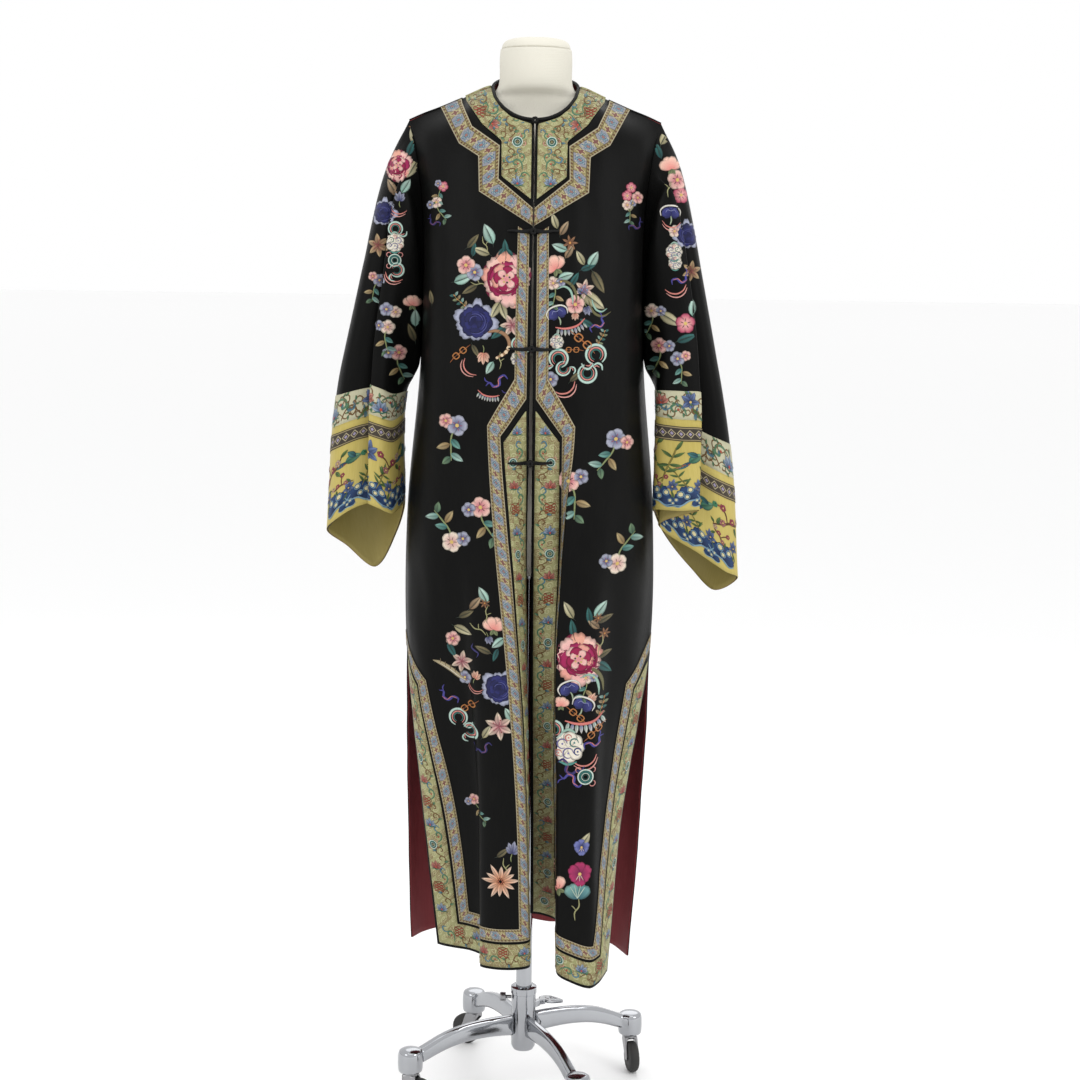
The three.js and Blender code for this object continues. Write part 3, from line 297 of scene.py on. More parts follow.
BACK_LEFT_FOLDS = [
    [166, 40, 206, 182, 26, 187, -20, 188, 0, 169, 0, 166, 34, 178, 26, 1468, 188, 2, 1512],
    [154, 68, 208, 168, 60, 176, 40, 178, 48, 160, 46, 158, 60, 160, 48, 1482, 150, 2, 1528],
    [130, 92, 214, 139, 90, 146, 86, 150, 84, 138, 84, 136, 84, 122, 64, 1500, 106, 1, 1546],
    [100, 108, 222, 107, 110, 112, 108, 116, 106, 108, 104, 106, 98, 90, 70, 1516, 67, 0, 1562],
    [72, 134, 230, 75, 130, 78, 126, 80, 124, 76, 118, 74, 109, 66, 80, 1526, 56, 35, 1573],
    [40, 118, 235, 40, 122, 38, 124, 40, 127, 38, 120, 36, 113, 34, 86, 1532, 32, 57, 1577],
    [0, 138, 236, 0, 134, 0, 131, 0, 130, 0, 121, 0, 113, 0, 89, 1534, 0, 65, 1578],
]
SLEEVE_RIGHT_FOLDS = [
    [222, 0, 1440, 262, -4, 1270, 297, -6, 1098, 311, -4, 893],
    [213, -26, 1441, 252, -30, 1272, 284, -34, 1104, 296, -32, 912],
    [204, -38, 1438, 232, -38, 1272, 256, -38, 1112, 262, -36, 934],
    [196, -38, 1430, 214, -34, 1262, 222, -32, 1118, 222, -30, 944],
    [195, -50, 1420, 226, -56, 1262, 240, -58, 1120, 243, -56, 942],
    [184, -50, 1390, 212, -58, 1240, 224, -60, 1114, 227, -58, 934],
    [172, -38, 1300, 198, -40, 1190, 208, -44, 1106, 210, -43, 925],
    [172, 2, 1146, 180, 2, 1130, 190, 2, 1108, 193, 2, 935],
    [178, 34, 1260, 196, 34, 1180, 206, 32, 1096, 206, 28, 890],
    [194, 46, 1400, 222, 50, 1255, 238, 50, 1050, 241, 46, 830],
    [212, 28, 1438, 250, 32, 1270, 284, 34, 1080, 285, 30, 866],
]
SLEEVE_LEFT_FOLDS = [
    [221, 0, 1440, 258, -4, 1270, 303, -6, 1033, 320, -4, 828],
    [213, -22, 1441, 248, -26, 1270, 286, -28, 1042, 299, -26, 841],
    [204, -32, 1438, 230, -30, 1270, 256, -28, 1056, 260, -26, 867],
    [188, -34, 1425, 202, -28, 1250, 202, -28, 1090, 197, -28, 911],
    [196, -48, 1420, 236, -52, 1262, 252, -54, 1115, 255, -50, 937],
    [184, -52, 1390, 216, -60, 1240, 224, -62, 1117, 224, -60, 937],
    [172, -42, 1300, 192, -50, 1190, 192, -52, 1117, 190, -48, 937],
    [172, 2, 1146, 181, 2, 1130, 189, 1, 1112, 192, 0, 925],
    [178, 34, 1260, 200, 36, 1180, 212, 34, 1090, 208, 30, 890],
    [194, 46, 1400, 226, 50, 1250, 250, 50, 1040, 252, 44, 835],
    [212, 28, 1438, 250, 32, 1270, 290, 34, 1030, 288, 32, 803],
]

# %% [markdown]
# ## Smooth cloth from fold lines
# A fine grid is worked out from the lines: smooth down every line first, then smooth
# across them. Small soft creases are added along the cloth's own direction, so that
# light breaks up over it as over real silk.

# %% Curves through the fold lines
def smooth(points, places, closed=False):
    """Points on centripetal curves. points[k, m] is the k-th point of curve m."""
    points = np.asarray(points, float)
    places = np.asarray(places, float)
    count = len(points)
    first = np.floor(places).astype(int)
    if closed:
        ring = [points[(first + n) % count] for n in (-1, 0, 1, 2)]
    else:
        first = np.minimum(first, count - 2)
        before = 2 * points[:1] - points[1:2]
        after = 2 * points[-1:] - points[-2:-1]
        longer = np.concatenate([before, points, after])
        ring = [longer[first + n] for n in range(4)]
    w = (places - first)[:, None, None]
    p0, p1, p2, p3 = ring
    step = [np.sum((b - a) ** 2, -1, keepdims=True) ** 0.25 for a, b in zip(ring, ring[1:])]
    d1 = np.where(step[1] < 1e-4, 1, step[1])
    d0 = np.where(step[0] < 1e-4, d1, step[0])
    d2 = np.where(step[2] < 1e-4, d1, step[2])
    t1 = ((p1 - p0) / d0 - (p2 - p0) / (d0 + d1) + (p2 - p1) / d1) * d1
    t2 = ((p2 - p1) / d1 - (p3 - p1) / (d1 + d2) + (p3 - p2) / d2) * d1
    return (p1 + t1 * w + (3 * (p2 - p1) - 2 * t1 - t2) * w ** 2
            + (2 * (p1 - p2) + t1 + t2) * w ** 3)


def fold_grid(lines, across, along, closed=False):
    """grid[j, i]: row j at along[j], column i at across[i]."""
    down = smooth(np.swapaxes(lines, 0, 1), along)
    grid = smooth(np.swapaxes(down, 0, 1), across, closed)
    return np.swapaxes(grid, 0, 1)


def panel_lines(table, side):
    lines = []
    for row in table:
        hx, hy, hz = row[:3]
        middle = [(row[3 + 2 * k], row[4 + 2 * k], LEVELS[k]) for k in range(5)]
        lines.append([(hx, hy, hz), *middle, tuple(row[13:16]), tuple(row[16:19])])
    return np.array(lines) * (side, 1, 1)


def grid_normals(grid, outward, closed=False):
    if closed:
        across = np.roll(grid, -1, 1) - np.roll(grid, 1, 1)
    else:
        across = np.gradient(grid, axis=1)
    normals = np.cross(across, np.gradient(grid, axis=0))
    normals /= np.maximum(np.linalg.norm(normals, axis=2, keepdims=True), 1e-9)
    middle = grid.mean(axis=1, keepdims=True) if closed else np.zeros(3)
    facing = np.sum((normals * ((grid - middle) if closed else outward))[..., :2])
    return normals if facing > 0 else -normals


def creases(grid, seed, size):
    """Heights of small soft creases, longer down the cloth than across it."""
    height = np.zeros(grid.shape[:2])
    for j, row in enumerate(grid):
        for i, (x, y, z) in enumerate(row):
            broad = noise.noise((x / 34 + seed, y / 34, z / 190))
            slant = noise.noise(((x + 0.35 * z) / 26, y / 40 + seed, z / 70))
            height[j, i] = size * (0.75 * broad + 0.4 * slant)
    return height


class Cloth:
    """A piece of cloth as a fine grid with normals, in millimetres from the pole's axis."""

    def __init__(self, grid, outward=(0, 0, 0), closed=False, seed=0.0, crease=1.0, calm=1.0):
        self.closed = closed
        self.smooth_grid = grid
        self.normals = grid_normals(grid, np.array(outward, float), closed)
        self.grid = grid + self.normals * (creases(grid, seed, crease) * calm)[..., None]

    def raised(self, height):
        return self.grid + self.normals * height


# %% Panels
PER_LINE = 8          # columns between two fold lines
PER_LEVEL = 26        # rows between two levels
SLIT = 2              # level of the slit's top
ARMPIT = 4            # level of the armpit along a panel
TOP = 7               # level of the shoulder and the neck
FRONT_LINES = 9       # the last fold line of a front, at its side
BACK_LINES = 6
NECK_LINE = 5         # front fold line that ends where neck meets shoulder
BACK_NECK_LINE = 3    # the same on the back
CALM_ABOVE = 1500     # over this height the yoke lies without creases
CALM_FADE = 120
SEAM_FADE = 6         # columns over which creases fade in from a seam
PANEL_CREASE = 2.0
SLEEVE_CREASE = 1.5
ALONG = np.linspace(0, TOP, TOP * PER_LEVEL + 1)
FRONT_ACROSS = np.linspace(0, FRONT_LINES, FRONT_LINES * PER_LINE + 1)
BACK_ACROSS = np.linspace(0, BACK_LINES, BACK_LINES * PER_LINE + 1)
SIDES = {"right": -1, "left": 1}
TABLES = {"right": (FRONT_RIGHT_FOLDS, BACK_RIGHT_FOLDS, SLEEVE_RIGHT_FOLDS),
          "left": (FRONT_LEFT_FOLDS, BACK_LEFT_FOLDS, SLEEVE_LEFT_FOLDS)}


def make_panels(side, front_table, back_table):
    front_lines = panel_lines(front_table, side)
    back_lines = panel_lines(back_table, side)
    front = fold_grid(front_lines, FRONT_ACROSS, ALONG)
    back = fold_grid(back_lines, BACK_ACROSS, ALONG)
    seam = (ALONG >= SLIT) & (ALONG <= ARMPIT)
    back[seam, 0] = front[seam, -1]
    shoulder = BACK_ACROSS <= BACK_NECK_LINE
    per_back_line = (FRONT_LINES - NECK_LINE) / BACK_NECK_LINE
    meeting = FRONT_LINES - BACK_ACROSS[shoulder] * per_back_line
    back[-1, shoulder] = fold_grid(front_lines, meeting, np.array([float(TOP)]))[0]
    calm_front = np.clip((CALM_ABOVE - front[..., 2]) / CALM_FADE, 0, 1)
    calm_back = np.clip((CALM_ABOVE - back[..., 2]) / CALM_FADE, 0, 1)
    # the seams keep their line, so that the pieces still meet there
    free = (ALONG < SLIT)[:, None]
    calm_front *= np.where(free, 1, np.clip(np.arange(front.shape[1])[::-1] / SEAM_FADE, 0, 1))
    calm_back *= np.where(free, 1, np.clip(np.arange(back.shape[1]) / SEAM_FADE, 0, 1))
    calm_back *= np.clip(np.arange(back.shape[1])[::-1] / SEAM_FADE, 0, 1)
    return (Cloth(front, (0, -1, 0), seed=3.1 * side, crease=PANEL_CREASE, calm=calm_front),
            Cloth(back, (0, 1, 0), seed=7.7 * side, crease=PANEL_CREASE, calm=calm_back))


# %% Sleeves
# Where each fold line starts, in equal steps round the armhole: 8 steps down the
# front edge from the shoulder, then 6 up the back edge.
ROUND = [0, 1, 2, 3, 3.5, 4, 5, 6, 7, 7.5, 8, 9, 10, 10.5]
FRONT_STEPS = 8
BACK_STEPS = 6
ARMHOLE = TOP - ARMPIT      # levels from the armpit to the shoulder
SLEEVE_LINES = 11
SLEEVE_LEVELS = 4
JOINING_ROWS = 8            # rows over which a sleeve is drawn to its armhole
SLEEVE_ACROSS = np.arange(0, SLEEVE_LINES, 1 / 10)
SLEEVE_ALONG = np.linspace(0, SLEEVE_LEVELS, SLEEVE_LEVELS * PER_LEVEL + 1)


def make_sleeve(side, table, front, back):
    def armhole(step):
        if step <= FRONT_STEPS:
            level = TOP - ARMHOLE * step / FRONT_STEPS
            column = front.smooth_grid[:, -1]
        else:
            level = ARMPIT + ARMHOLE * (step - FRONT_STEPS) / BACK_STEPS
            column = back.smooth_grid[:, 0]
        j = np.interp(level, ALONG, np.arange(len(ALONG)))
        low = int(j)
        high = min(low + 1, len(column) - 1)
        return column[low] + (column[high] - column[low]) * (j - low)

    lines = []
    for n, row in enumerate(table):
        start = armhole(ROUND.index(n))
        rest = np.array(row, float).reshape(SLEEVE_LEVELS, 3) * (side, 1, 1)
        lines.append([start, *rest])
    grid = fold_grid(np.array(lines), SLEEVE_ACROSS, SLEEVE_ALONG, closed=True)
    steps = np.interp(SLEEVE_ACROSS, [*ROUND, SLEEVE_LINES], range(len(ROUND) + 1))
    gap = np.array([armhole(step) for step in steps]) - grid[0]
    for j in range(JOINING_ROWS):
        grid[j] += gap * (1 - j / JOINING_ROWS)
    calm = np.clip(SLEEVE_ALONG / 0.6, 0, 1)[:, None]
    return Cloth(grid, closed=True, seed=11.3 * side, crease=SLEEVE_CREASE, calm=calm)


cloth = {}
for name, side in SIDES.items():
    front_table, back_table, sleeve_table = TABLES[name]
    front, back = make_panels(side, front_table, back_table)
    cloth[f"front_{name}"] = front
    cloth[f"back_{name}"] = back
    cloth[f"sleeve_{name}"] = make_sleeve(side, sleeve_table, front, back)
for name, piece in cloth.items():
    print(name, piece.grid.shape, piece.grid.min((0, 1)).round(), piece.grid.max((0, 1)).round())

# %% [markdown]
# ## Meshes that ride on the dressed form
# `sew` turns a grid of points into a mesh. It keeps the flat lengths along and across
# in a UV map called "flat", and every woven pattern is worked out from that.

# %% Making a piece from a grid
def run_lengths(grid, axis):
    step = np.linalg.norm(np.diff(grid, axis=axis), axis=2)
    zero = np.zeros((1, grid.shape[1])) if axis == 0 else np.zeros((grid.shape[0], 1))
    return np.concatenate([zero, np.cumsum(step, axis=axis)], axis=axis)


def flat_lengths(grid):
    """Distances across and along the cloth at every point, in millimetres."""
    return np.stack([run_lengths(grid, 1), run_lengths(grid, 0)], axis=-1)


def to_metres(points):
    return (np.asarray(points) + CENTRE_SHIFT) * MM


BODY = "dressed_form"   # the body that the robe and the form's torso turn and rise with


def link_mesh(name, vertices, faces, uvs, materials):
    """uvs holds one flat place for each vertex."""
    mesh = bpy.data.meshes.new(name)
    mesh.from_pydata(to_metres(vertices).tolist(), [], faces)
    layer = mesh.uv_layers.new(name="flat")
    index = np.empty(len(mesh.loops), int)
    mesh.loops.foreach_get("vertex_index", index)
    layer.data.foreach_set("uv", np.asarray(uvs, float)[index].ravel())
    mesh.polygons.foreach_set("use_smooth", [True] * len(mesh.polygons))
    for material in materials:
        mesh.materials.append(material)
    piece = add_object(name, mesh)
    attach(piece, BODY)
    return piece


def grid_faces(rows, columns, closed=False, first=0):
    """Four corners for each face of a grid whose points are numbered row by row."""
    faces = []
    for j in range(rows - 1):
        for i in range(columns if closed else columns - 1):
            low = first + j * columns
            k = (i + 1) % columns
            faces.append((low + i, low + k, low + columns + k, low + columns + i))
    return faces


def grid_tree(grid, closed=False):
    return BVHTree.FromPolygons(grid.reshape(-1, 3).tolist(), grid_faces(*grid.shape[:2], closed))


def sew(name, grid, *materials, closed=False, flat=None):
    flat = flat_lengths(grid) if flat is None else flat
    if closed:
        grid = np.concatenate([grid, grid[:, :1]], axis=1)
        width = np.linalg.norm(grid[:, -2] - grid[:, -1], axis=1)
        seam = flat[:, -1:] + np.stack([width, np.zeros(len(grid))], -1)[:, None]
        flat = np.concatenate([flat, seam], axis=1)
    faces = grid_faces(*grid.shape[:2])
    return link_mesh(name, grid.reshape(-1, 3), faces, flat.reshape(-1, 2), materials)


def close_up(mesh):
    """Joins the two sides of a tube's seam and closes its ends."""
    work = bmesh.new()
    work.from_mesh(mesh)
    bmesh.ops.remove_doubles(work, verts=work.verts, dist=0.000002)
    bmesh.ops.holes_fill(work, edges=[e for e in work.edges if e.is_boundary], sides=0)
    bmesh.ops.recalc_face_normals(work, faces=work.faces)
    work.to_mesh(mesh)
    work.free()


def outward_faces(piece, normals, closed=False):
    """Turns the faces if they look the other way from the cloth's normals."""
    if closed:
        normals = np.concatenate([normals, normals[:, :1]], axis=1)
    normals = normals.reshape(-1, 3)
    mesh = piece.data
    facing = sum(mesh.vertices[p.vertices[0]].normal.dot(Vector(normals[p.vertices[0]]))
                 for p in list(mesh.polygons)[::37])
    if facing < 0:
        mesh.flip_normals()


def thicken(piece, thickness, inside_material=0, offset=1.0):
    solid = piece.modifiers.new("thickness", "SOLIDIFY")
    solid.thickness = thickness * MM
    solid.offset = offset
    solid.material_offset = inside_material
    solid.use_even_offset = False

# %% [markdown]
# ## Woven grounds
# The weave, the wear and the soft slubs are shared node groups. Each kind of cloth then
# sets its own colour, gloss and pattern.

# %% Shared groups
def new_group(name, *outputs):
    tree = bpy.data.node_groups.new(name, "ShaderNodeTree")
    for label in outputs:
        tree.interface.new_socket(label, in_out="OUTPUT", socket_type="NodeSocketFloat")
    return tree, tree.nodes.new("NodeGroupOutput")


def make_weave():
    """Warp and weft threads of a satin. Height is 0 to 1, Slub is a slow unevenness."""
    tree, made = new_group("weave", "Height", "Slub")
    tree.interface.new_socket("Flat", in_out="INPUT", socket_type="NodeSocketVector")
    tree.interface.new_socket("Pitch", in_out="INPUT", socket_type="NodeSocketFloat")
    given = tree.nodes.new("NodeGroupInput")
    parts = tree.nodes.new("ShaderNodeSeparateXYZ")
    tree.links.new(given.outputs["Flat"], parts.inputs[0])
    u, v = Number(tree, parts.outputs[0]), Number(tree, parts.outputs[1])
    pitch = Number(tree, given.outputs["Pitch"])
    warp = (u / pitch * math.pi).sin().abs()
    step = (u / pitch).floor() * 1.7
    weft = ((v / pitch / 3.0 + step) * math.pi).sin().abs()
    height = warp * 0.6 + weft * 0.4
    slub = tree.nodes.new("ShaderNodeTexNoise")
    stretch = tree.nodes.new("ShaderNodeVectorMath")
    stretch.operation = "MULTIPLY"
    tree.links.new(given.outputs["Flat"], stretch.inputs[0])
    stretch.inputs[1].default_value = (0.5, 0.035, 1)
    tree.links.new(stretch.outputs[0], slub.inputs["Vector"])
    slub.inputs["Scale"].default_value = 1.0
    slub.inputs["Detail"].default_value = 4.0
    tree.links.new(height.socket, made.inputs["Height"])
    tree.links.new(slub.outputs[0], made.inputs["Slub"])
    return tree


def make_wear():
    """Slow patches over the whole piece, for rubbed and faded places."""
    tree, made = new_group("wear", "Mask")
    place = tree.nodes.new("ShaderNodeTexCoord")
    patches = tree.nodes.new("ShaderNodeTexNoise")
    patches.inputs["Scale"].default_value = 7.0
    patches.inputs["Detail"].default_value = 6.0
    tree.links.new(place.outputs["Object"], patches.inputs["Vector"])
    tree.links.new(patches.outputs[0], made.inputs["Mask"])
    return tree


weave_tree = make_weave()
wear_tree = make_wear()


def cloth_shader(name, colour, other, roughness, pitch, depth, layers=None, specular=0.2, sheen=0.0):
    """A woven cloth. layers(shader, ground, along, across) adds the pattern over the ground."""
    shader = Shader(name, roughness, sheen=sheen)
    shader.main.inputs["Sheen Roughness"].default_value = 0.4
    shader.main.inputs["Specular IOR Level"].default_value = specular
    flat, u, v = shader.flat()
    weave = shader.group(weave_tree, Flat=flat, Pitch=pitch)
    worn = shader.worn()
    height = shader.number(weave, "Height")
    slub = shader.number(weave, "Slub")
    tone = ((slub - 0.5) * 1.2 + (worn - 0.5) * 1.6 + 0.5).clamp()
    ground = shader.paint(shade(colour), (tone, shade(other)))
    raised = height * 0.5
    if layers:
        ground, extra = layers(shader, ground, u, v)
        raised = raised + extra
    rough = (worn * 0.16 + height * -0.08 + (roughness - 0.04)).clamp()
    return shader.finish(ground, raised, depth * MM, rough)


# %% [markdown]
# ## Ribbon, brocade and cuff patterns
# The ribbon repeats a blue rosette and a small brown bloom between rails of brown
# squares. The brocade's ground is a pale damask with brown key frets, and the flowers on
# it are embroidered later. `u` runs along the band and `v` across it, in millimetres.

# %% Patterns
def rosette(x, y, radius, petals, depth):
    angle = y.math("ARCTAN2", x)
    return hypot(x, y) + (angle * petals).math("COSINE") * (-depth * radius)


def ribbon_pattern(shader, ground, u, v):
    """Grey cartouches with blue rosettes, by turns with brown blooms, between dotted rails."""
    pitch = 26.0
    x = u.mod(pitch) - pitch / 2
    y = v - 10.0
    between = (u + pitch / 2).mod(pitch) - pitch / 2
    from_middle = y.abs()
    inside = from_middle.below(6.0)
    ring = rosette(x, y, 5.0, 6.0, 0.2)
    body = ring.below(4.6)
    lace = ring.near(3.2, 0.45)
    heart = ring.below(1.1)
    diamond = x.abs() + from_middle * 0.5
    field = diamond.below(9.2) * inside
    edge = diamond.near(9.4, 0.4) * inside
    cloud = rosette(between, y, 3.4, 4.0, 0.3)
    bloom = cloud.below(2.9)
    bloom_line = cloud.near(3.6, 0.35)
    specks = shader.node("ShaderNodeTexVoronoi", Vector=shader.flat()[0], Scale=0.42)
    fleck = shader.number(specks).below(0.28, 0.1) * inside
    ticks = u.mod(5.2).below(2.4) * from_middle.near(7.9, 1.1)
    line = (from_middle * -1.0).below(-9.5).most(from_middle.near(6.3, 0.3))
    pale = from_middle.near(9.2, 0.35)
    painted = shader.paint(
        ground, (field, shade("808189")), (fleck, shade("b3ad88")), (edge, shade("5a4a34")),
        (bloom_line, shade("b5aa82")), (bloom, shade("6f4a44")), (body, shade("3f5a6c")),
        (lace, shade("8fa0a4")), (heart, shade("a86a50")), (ticks, shade("5a3e2c")),
        (line, shade("4a3f28")), (pale, shade("b0a890")))
    return painted, body * 0.5 + bloom * 0.4 + ticks * 0.5 + lace * 0.3 + fleck * 0.3


def fret_pattern(shader, ground, u, v):
    """Square key frets in brown over a damask of small swirls."""
    fret_pitch, swirl_pitch = 9.0, 13.0
    column = (u / fret_pitch).floor()
    row = (v / fret_pitch).floor()
    chance = ((column * 12.9898 + row * 78.233).sin() * 43758.5453).math("FRACT")
    x = u.mod(fret_pitch) - fret_pitch / 2
    y = v.mod(fret_pitch) - fret_pitch / 2
    square = x.abs().most(y.abs())
    lines = square.near(3.3, 0.42).most(square.near(1.5, 0.4))
    gap = x.near(1.5, 0.9) * (y * -1.0).below(-0.4)
    bar = x.near(-0.1, 0.45) * y.near(2.5, 1.4)
    chosen = (chance * -1.0).below(-0.52, 0.02)
    fret = (lines * (gap * -1.0 + 1.0)).most(bar) * chosen
    swirl_x = u.mod(swirl_pitch) - swirl_pitch / 2
    swirl_y = (v + (u / swirl_pitch).floor() * 5.0).mod(swirl_pitch) - swirl_pitch / 2
    reach = hypot(swirl_x, swirl_y)
    spiral = (reach * 1.7 + swirl_y.math("ARCTAN2", swirl_x)).sin()
    swirl = spiral.below(-0.2, 0.3) * reach.below(5.6)
    painted = shader.paint(ground, (swirl * 0.6, shade("b5b28c")), (fret * 0.85, shade("6a4432")))
    return painted, swirl * 0.35 + fret * 0.4


def lozenge_pattern(shader, ground, u, v):
    """Lozenges along the dark cuff ribbon."""
    x = u.mod(14.0) - 7.0
    y = v.mod(18.0) - 9.0
    diamond = x.abs() * 0.8 + y.abs()
    ring = diamond.near(4.6, 0.6)
    inner = diamond.below(2.2)
    rail = y.abs().near(7.4, 0.5)
    painted = shader.paint(ground, (ring, shade("a79c7d")), (inner, shade("8f86a0")),
                           (rail, shade("9a8c66")))
    return painted, ring * 0.4 + inner * 0.5 + rail * 0.4


# name, ground colour, uneven colour, roughness, thread pitch and depth of the weave in mm
silk = cloth_shader("silk", "080808", "0f0f0e", 0.42, 0.7, 0.1, specular=0.07)
lining = cloth_shader("lining", "6c2428", "7c3438", 0.62, 0.8, 0.1, sheen=0.03)
ribbon = cloth_shader("ribbon", "82774f", "948963", 0.62, 0.9, 0.2, ribbon_pattern)
brocade = cloth_shader("brocade", "7f7f54", "9b986e", 0.5, 0.8, 0.16, fret_pattern)
cuff_floral = cloth_shader("cuff_floral", "aaa788", "bcb9a0", 0.5, 0.8, 0.12)
cuff_satin = cloth_shader("cuff_satin", "aa9a50", "bbab64", 0.42, 0.7, 0.1)
cuff_ribbon = cloth_shader("cuff_ribbon", "35302a", "474036", 0.6, 0.8, 0.16, lozenge_pattern)
# The facing's olive is the cuff's yellow satin darkened, as painted shade for the inside of the sleeve.
facing = cloth_shader("facing", "887a42", "978a52", 0.5, 0.7, 0.1)
print("woven grounds made")

# %% [markdown]
# ## Sewing the panels
# Each panel is one wall of silk with its lining. The silk shows outside, and the maroon
# lining shows inside and along the open side slits.

# %% Panels and sleeves
SILK_WALL = 1.6
pieces = {}
for name, part in cloth.items():
    kind = name.split("_")[0]
    piece = sew(f"silk_{name}", part.grid, silk, lining, closed=part.closed)
    outward_faces(piece, part.normals, part.closed)
    thicken(piece, SILK_WALL, inside_material=1, offset=-1.0)
    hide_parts(name)
    pieces[name] = piece

# %% [markdown]
# ## Trims
# A trim is cut to an outline in the flat, and then laid on the cloth with `Chart`, which
# finds the cloth under any flat place. The border keeps 4.5 mm from the bound edge, is
# 35 mm wide, and a black gap parts it from the ribbon.

# %% Flat charts
HEM_Z = 250          # level of an even hem, the zero of flat heights
WIDTHS = {"front": 268, "back": 232}    # flat width of each panel at the hem


def smoothstep(t):
    t = np.clip(t, 0, 1)
    return t * t * (3 - 2 * t)


class Chart:
    """Finds the cloth's place and normal from a flat place."""

    def __init__(self, part, chart, rows=slice(None)):
        self.grid = part.grid[rows].reshape(-1, 3)
        self.normals = part.normals[rows].reshape(-1, 3)
        chart = chart[rows]
        height, width = chart.shape[:2]
        self.flat = np.concatenate([chart.reshape(-1, 2), np.zeros((height * width, 1))], axis=1)
        self.triangles = []
        for j in range(height - 1):
            for i in range(width - 1):
                a = j * width + i
                self.triangles.append((a, a + 1, a + width + 1))
                self.triangles.append((a, a + width + 1, a + width))
        self.tree = BVHTree.FromPolygons(self.flat.tolist(), self.triangles)

    def __call__(self, a, b):
        found, _, index, _ = self.tree.find_nearest((a, b, 0))
        ids = self.triangles[index]
        p, q, r = (self.flat[k][:2] for k in ids)
        area = (q[0] - p[0]) * (r[1] - p[1]) - (q[1] - p[1]) * (r[0] - p[0])
        area = area if abs(area) > 1e-9 else 1e-9
        wq = ((found[0] - p[0]) * (r[1] - p[1]) - (found[1] - p[1]) * (r[0] - p[0])) / area
        wr = ((q[0] - p[0]) * (found[1] - p[1]) - (q[1] - p[1]) * (found[0] - p[0])) / area
        weights = (1 - wq - wr, wq, wr)
        place = sum(w * self.grid[k] for w, k in zip(weights, ids))
        normal = sum(w * self.normals[k] for w, k in zip(weights, ids))
        return place, normal / max(np.linalg.norm(normal), 1e-9)


def panel_chart(part, width, middle_first):
    grid = part.smooth_grid if middle_first else part.smooth_grid[:, ::-1]
    runs = run_lengths(grid, 1)
    total = runs[:, -1:]
    a = runs + (width - total) * smoothstep(runs / total)
    even = smoothstep(ALONG / 2)[:, None]
    b = grid[..., 2] - (grid[:1, :, 2] * (1 - even) + HEM_Z * even)
    chart = np.stack([a, b], axis=-1)
    return chart if middle_first else chart[:, ::-1]


def seen_chart(part, side):
    return np.stack([part.grid[..., 0] * side, part.grid[..., 2]], axis=-1)


# %% Bands along an outline
TRIM_LIFT = 0.4
YOKE_LIFT = 0.9
BAND_STEP = 5.0      # longest distance between two rows of a band


def band_rows(low, out, lanes):
    """Rows of flat places from the low side to the outer side, with lengths along."""
    low, out = np.array(low, float), np.array(out, float)
    rows, lengths, run = [], [], 0.0
    for n in range(len(low) - 1):
        length = (np.linalg.norm(low[n + 1] - low[n]) + np.linalg.norm(out[n + 1] - out[n])) / 2
        count = max(1, round(length / BAND_STEP))
        for k in range(count + (n == len(low) - 2)):
            t = k / count
            p = low[n] + (low[n + 1] - low[n]) * t
            q = out[n] + (out[n + 1] - out[n]) * t
            rows.append([p + (q - p) * m / lanes for m in range(lanes + 1)])
            lengths.append(run + length * t)
        run += length
    return rows, lengths


def lay_band(name, chart, low, out, width, material, lift=TRIM_LIFT, lanes=5):
    rows, lengths = band_rows(low, out, lanes)
    grid, normals, flat = [], [], []
    for row, length in zip(rows, lengths):
        found = [chart(a, b) for a, b in row]
        grid.append([p + n * lift for p, n in found])
        normals.append([n for _, n in found])
        flat.append([(length, width * m / lanes) for m in range(len(row))])
    piece = sew(name, np.array(grid), material, flat=np.array(flat))
    outward_faces(piece, np.array(normals))
    thicken(piece, 0.5 if material is brocade else 0.55)
    return piece


EDGE = 4.5
BORDER_IN = 40
RIBBON_OUT = 44
RIBBON_IN = 64
RUYI_TIP, RUYI_SHOULDER, RUYI_TOP = 840, 794, 1094


def border_outline(width, face):
    low = [(width - EDGE, EDGE), (width - EDGE, 414), (width - EDGE, 450.5)]
    out = [(width - BORDER_IN, BORDER_IN), (width - BORDER_IN, 414), (width - EDGE - 0.5, 450)]
    if face == "back":
        return [(0, EDGE), *low], [(0, BORDER_IN), *out]
    return ([(EDGE, RUYI_TIP - 1), (EDGE, RUYI_SHOULDER), (EDGE, EDGE), *low],
            [(EDGE + 1.5, RUYI_TIP - 2), (BORDER_IN, RUYI_SHOULDER), (BORDER_IN, BORDER_IN), *out])


def ribbon_outline(width, face):
    low = [(width - RIBBON_OUT, RIBBON_OUT), (width - RIBBON_OUT, 418), (width - 1, 470)]
    out = [(width - RIBBON_IN, RIBBON_IN), (width - RIBBON_IN, 427), (width - 1, 493)]
    if face == "back":
        return [(0, RIBBON_OUT), *low], [(0, RIBBON_IN), *out]
    return ([(EDGE, RUYI_TOP), (EDGE, RUYI_TIP + 16), (RIBBON_OUT, RUYI_SHOULDER + 8),
             (RIBBON_OUT, RIBBON_OUT), *low],
            [(23, RUYI_TOP + 11), (23, RUYI_TIP + 46), (RIBBON_IN, RUYI_TIP - 22),
             (RIBBON_IN, RIBBON_IN), *out])


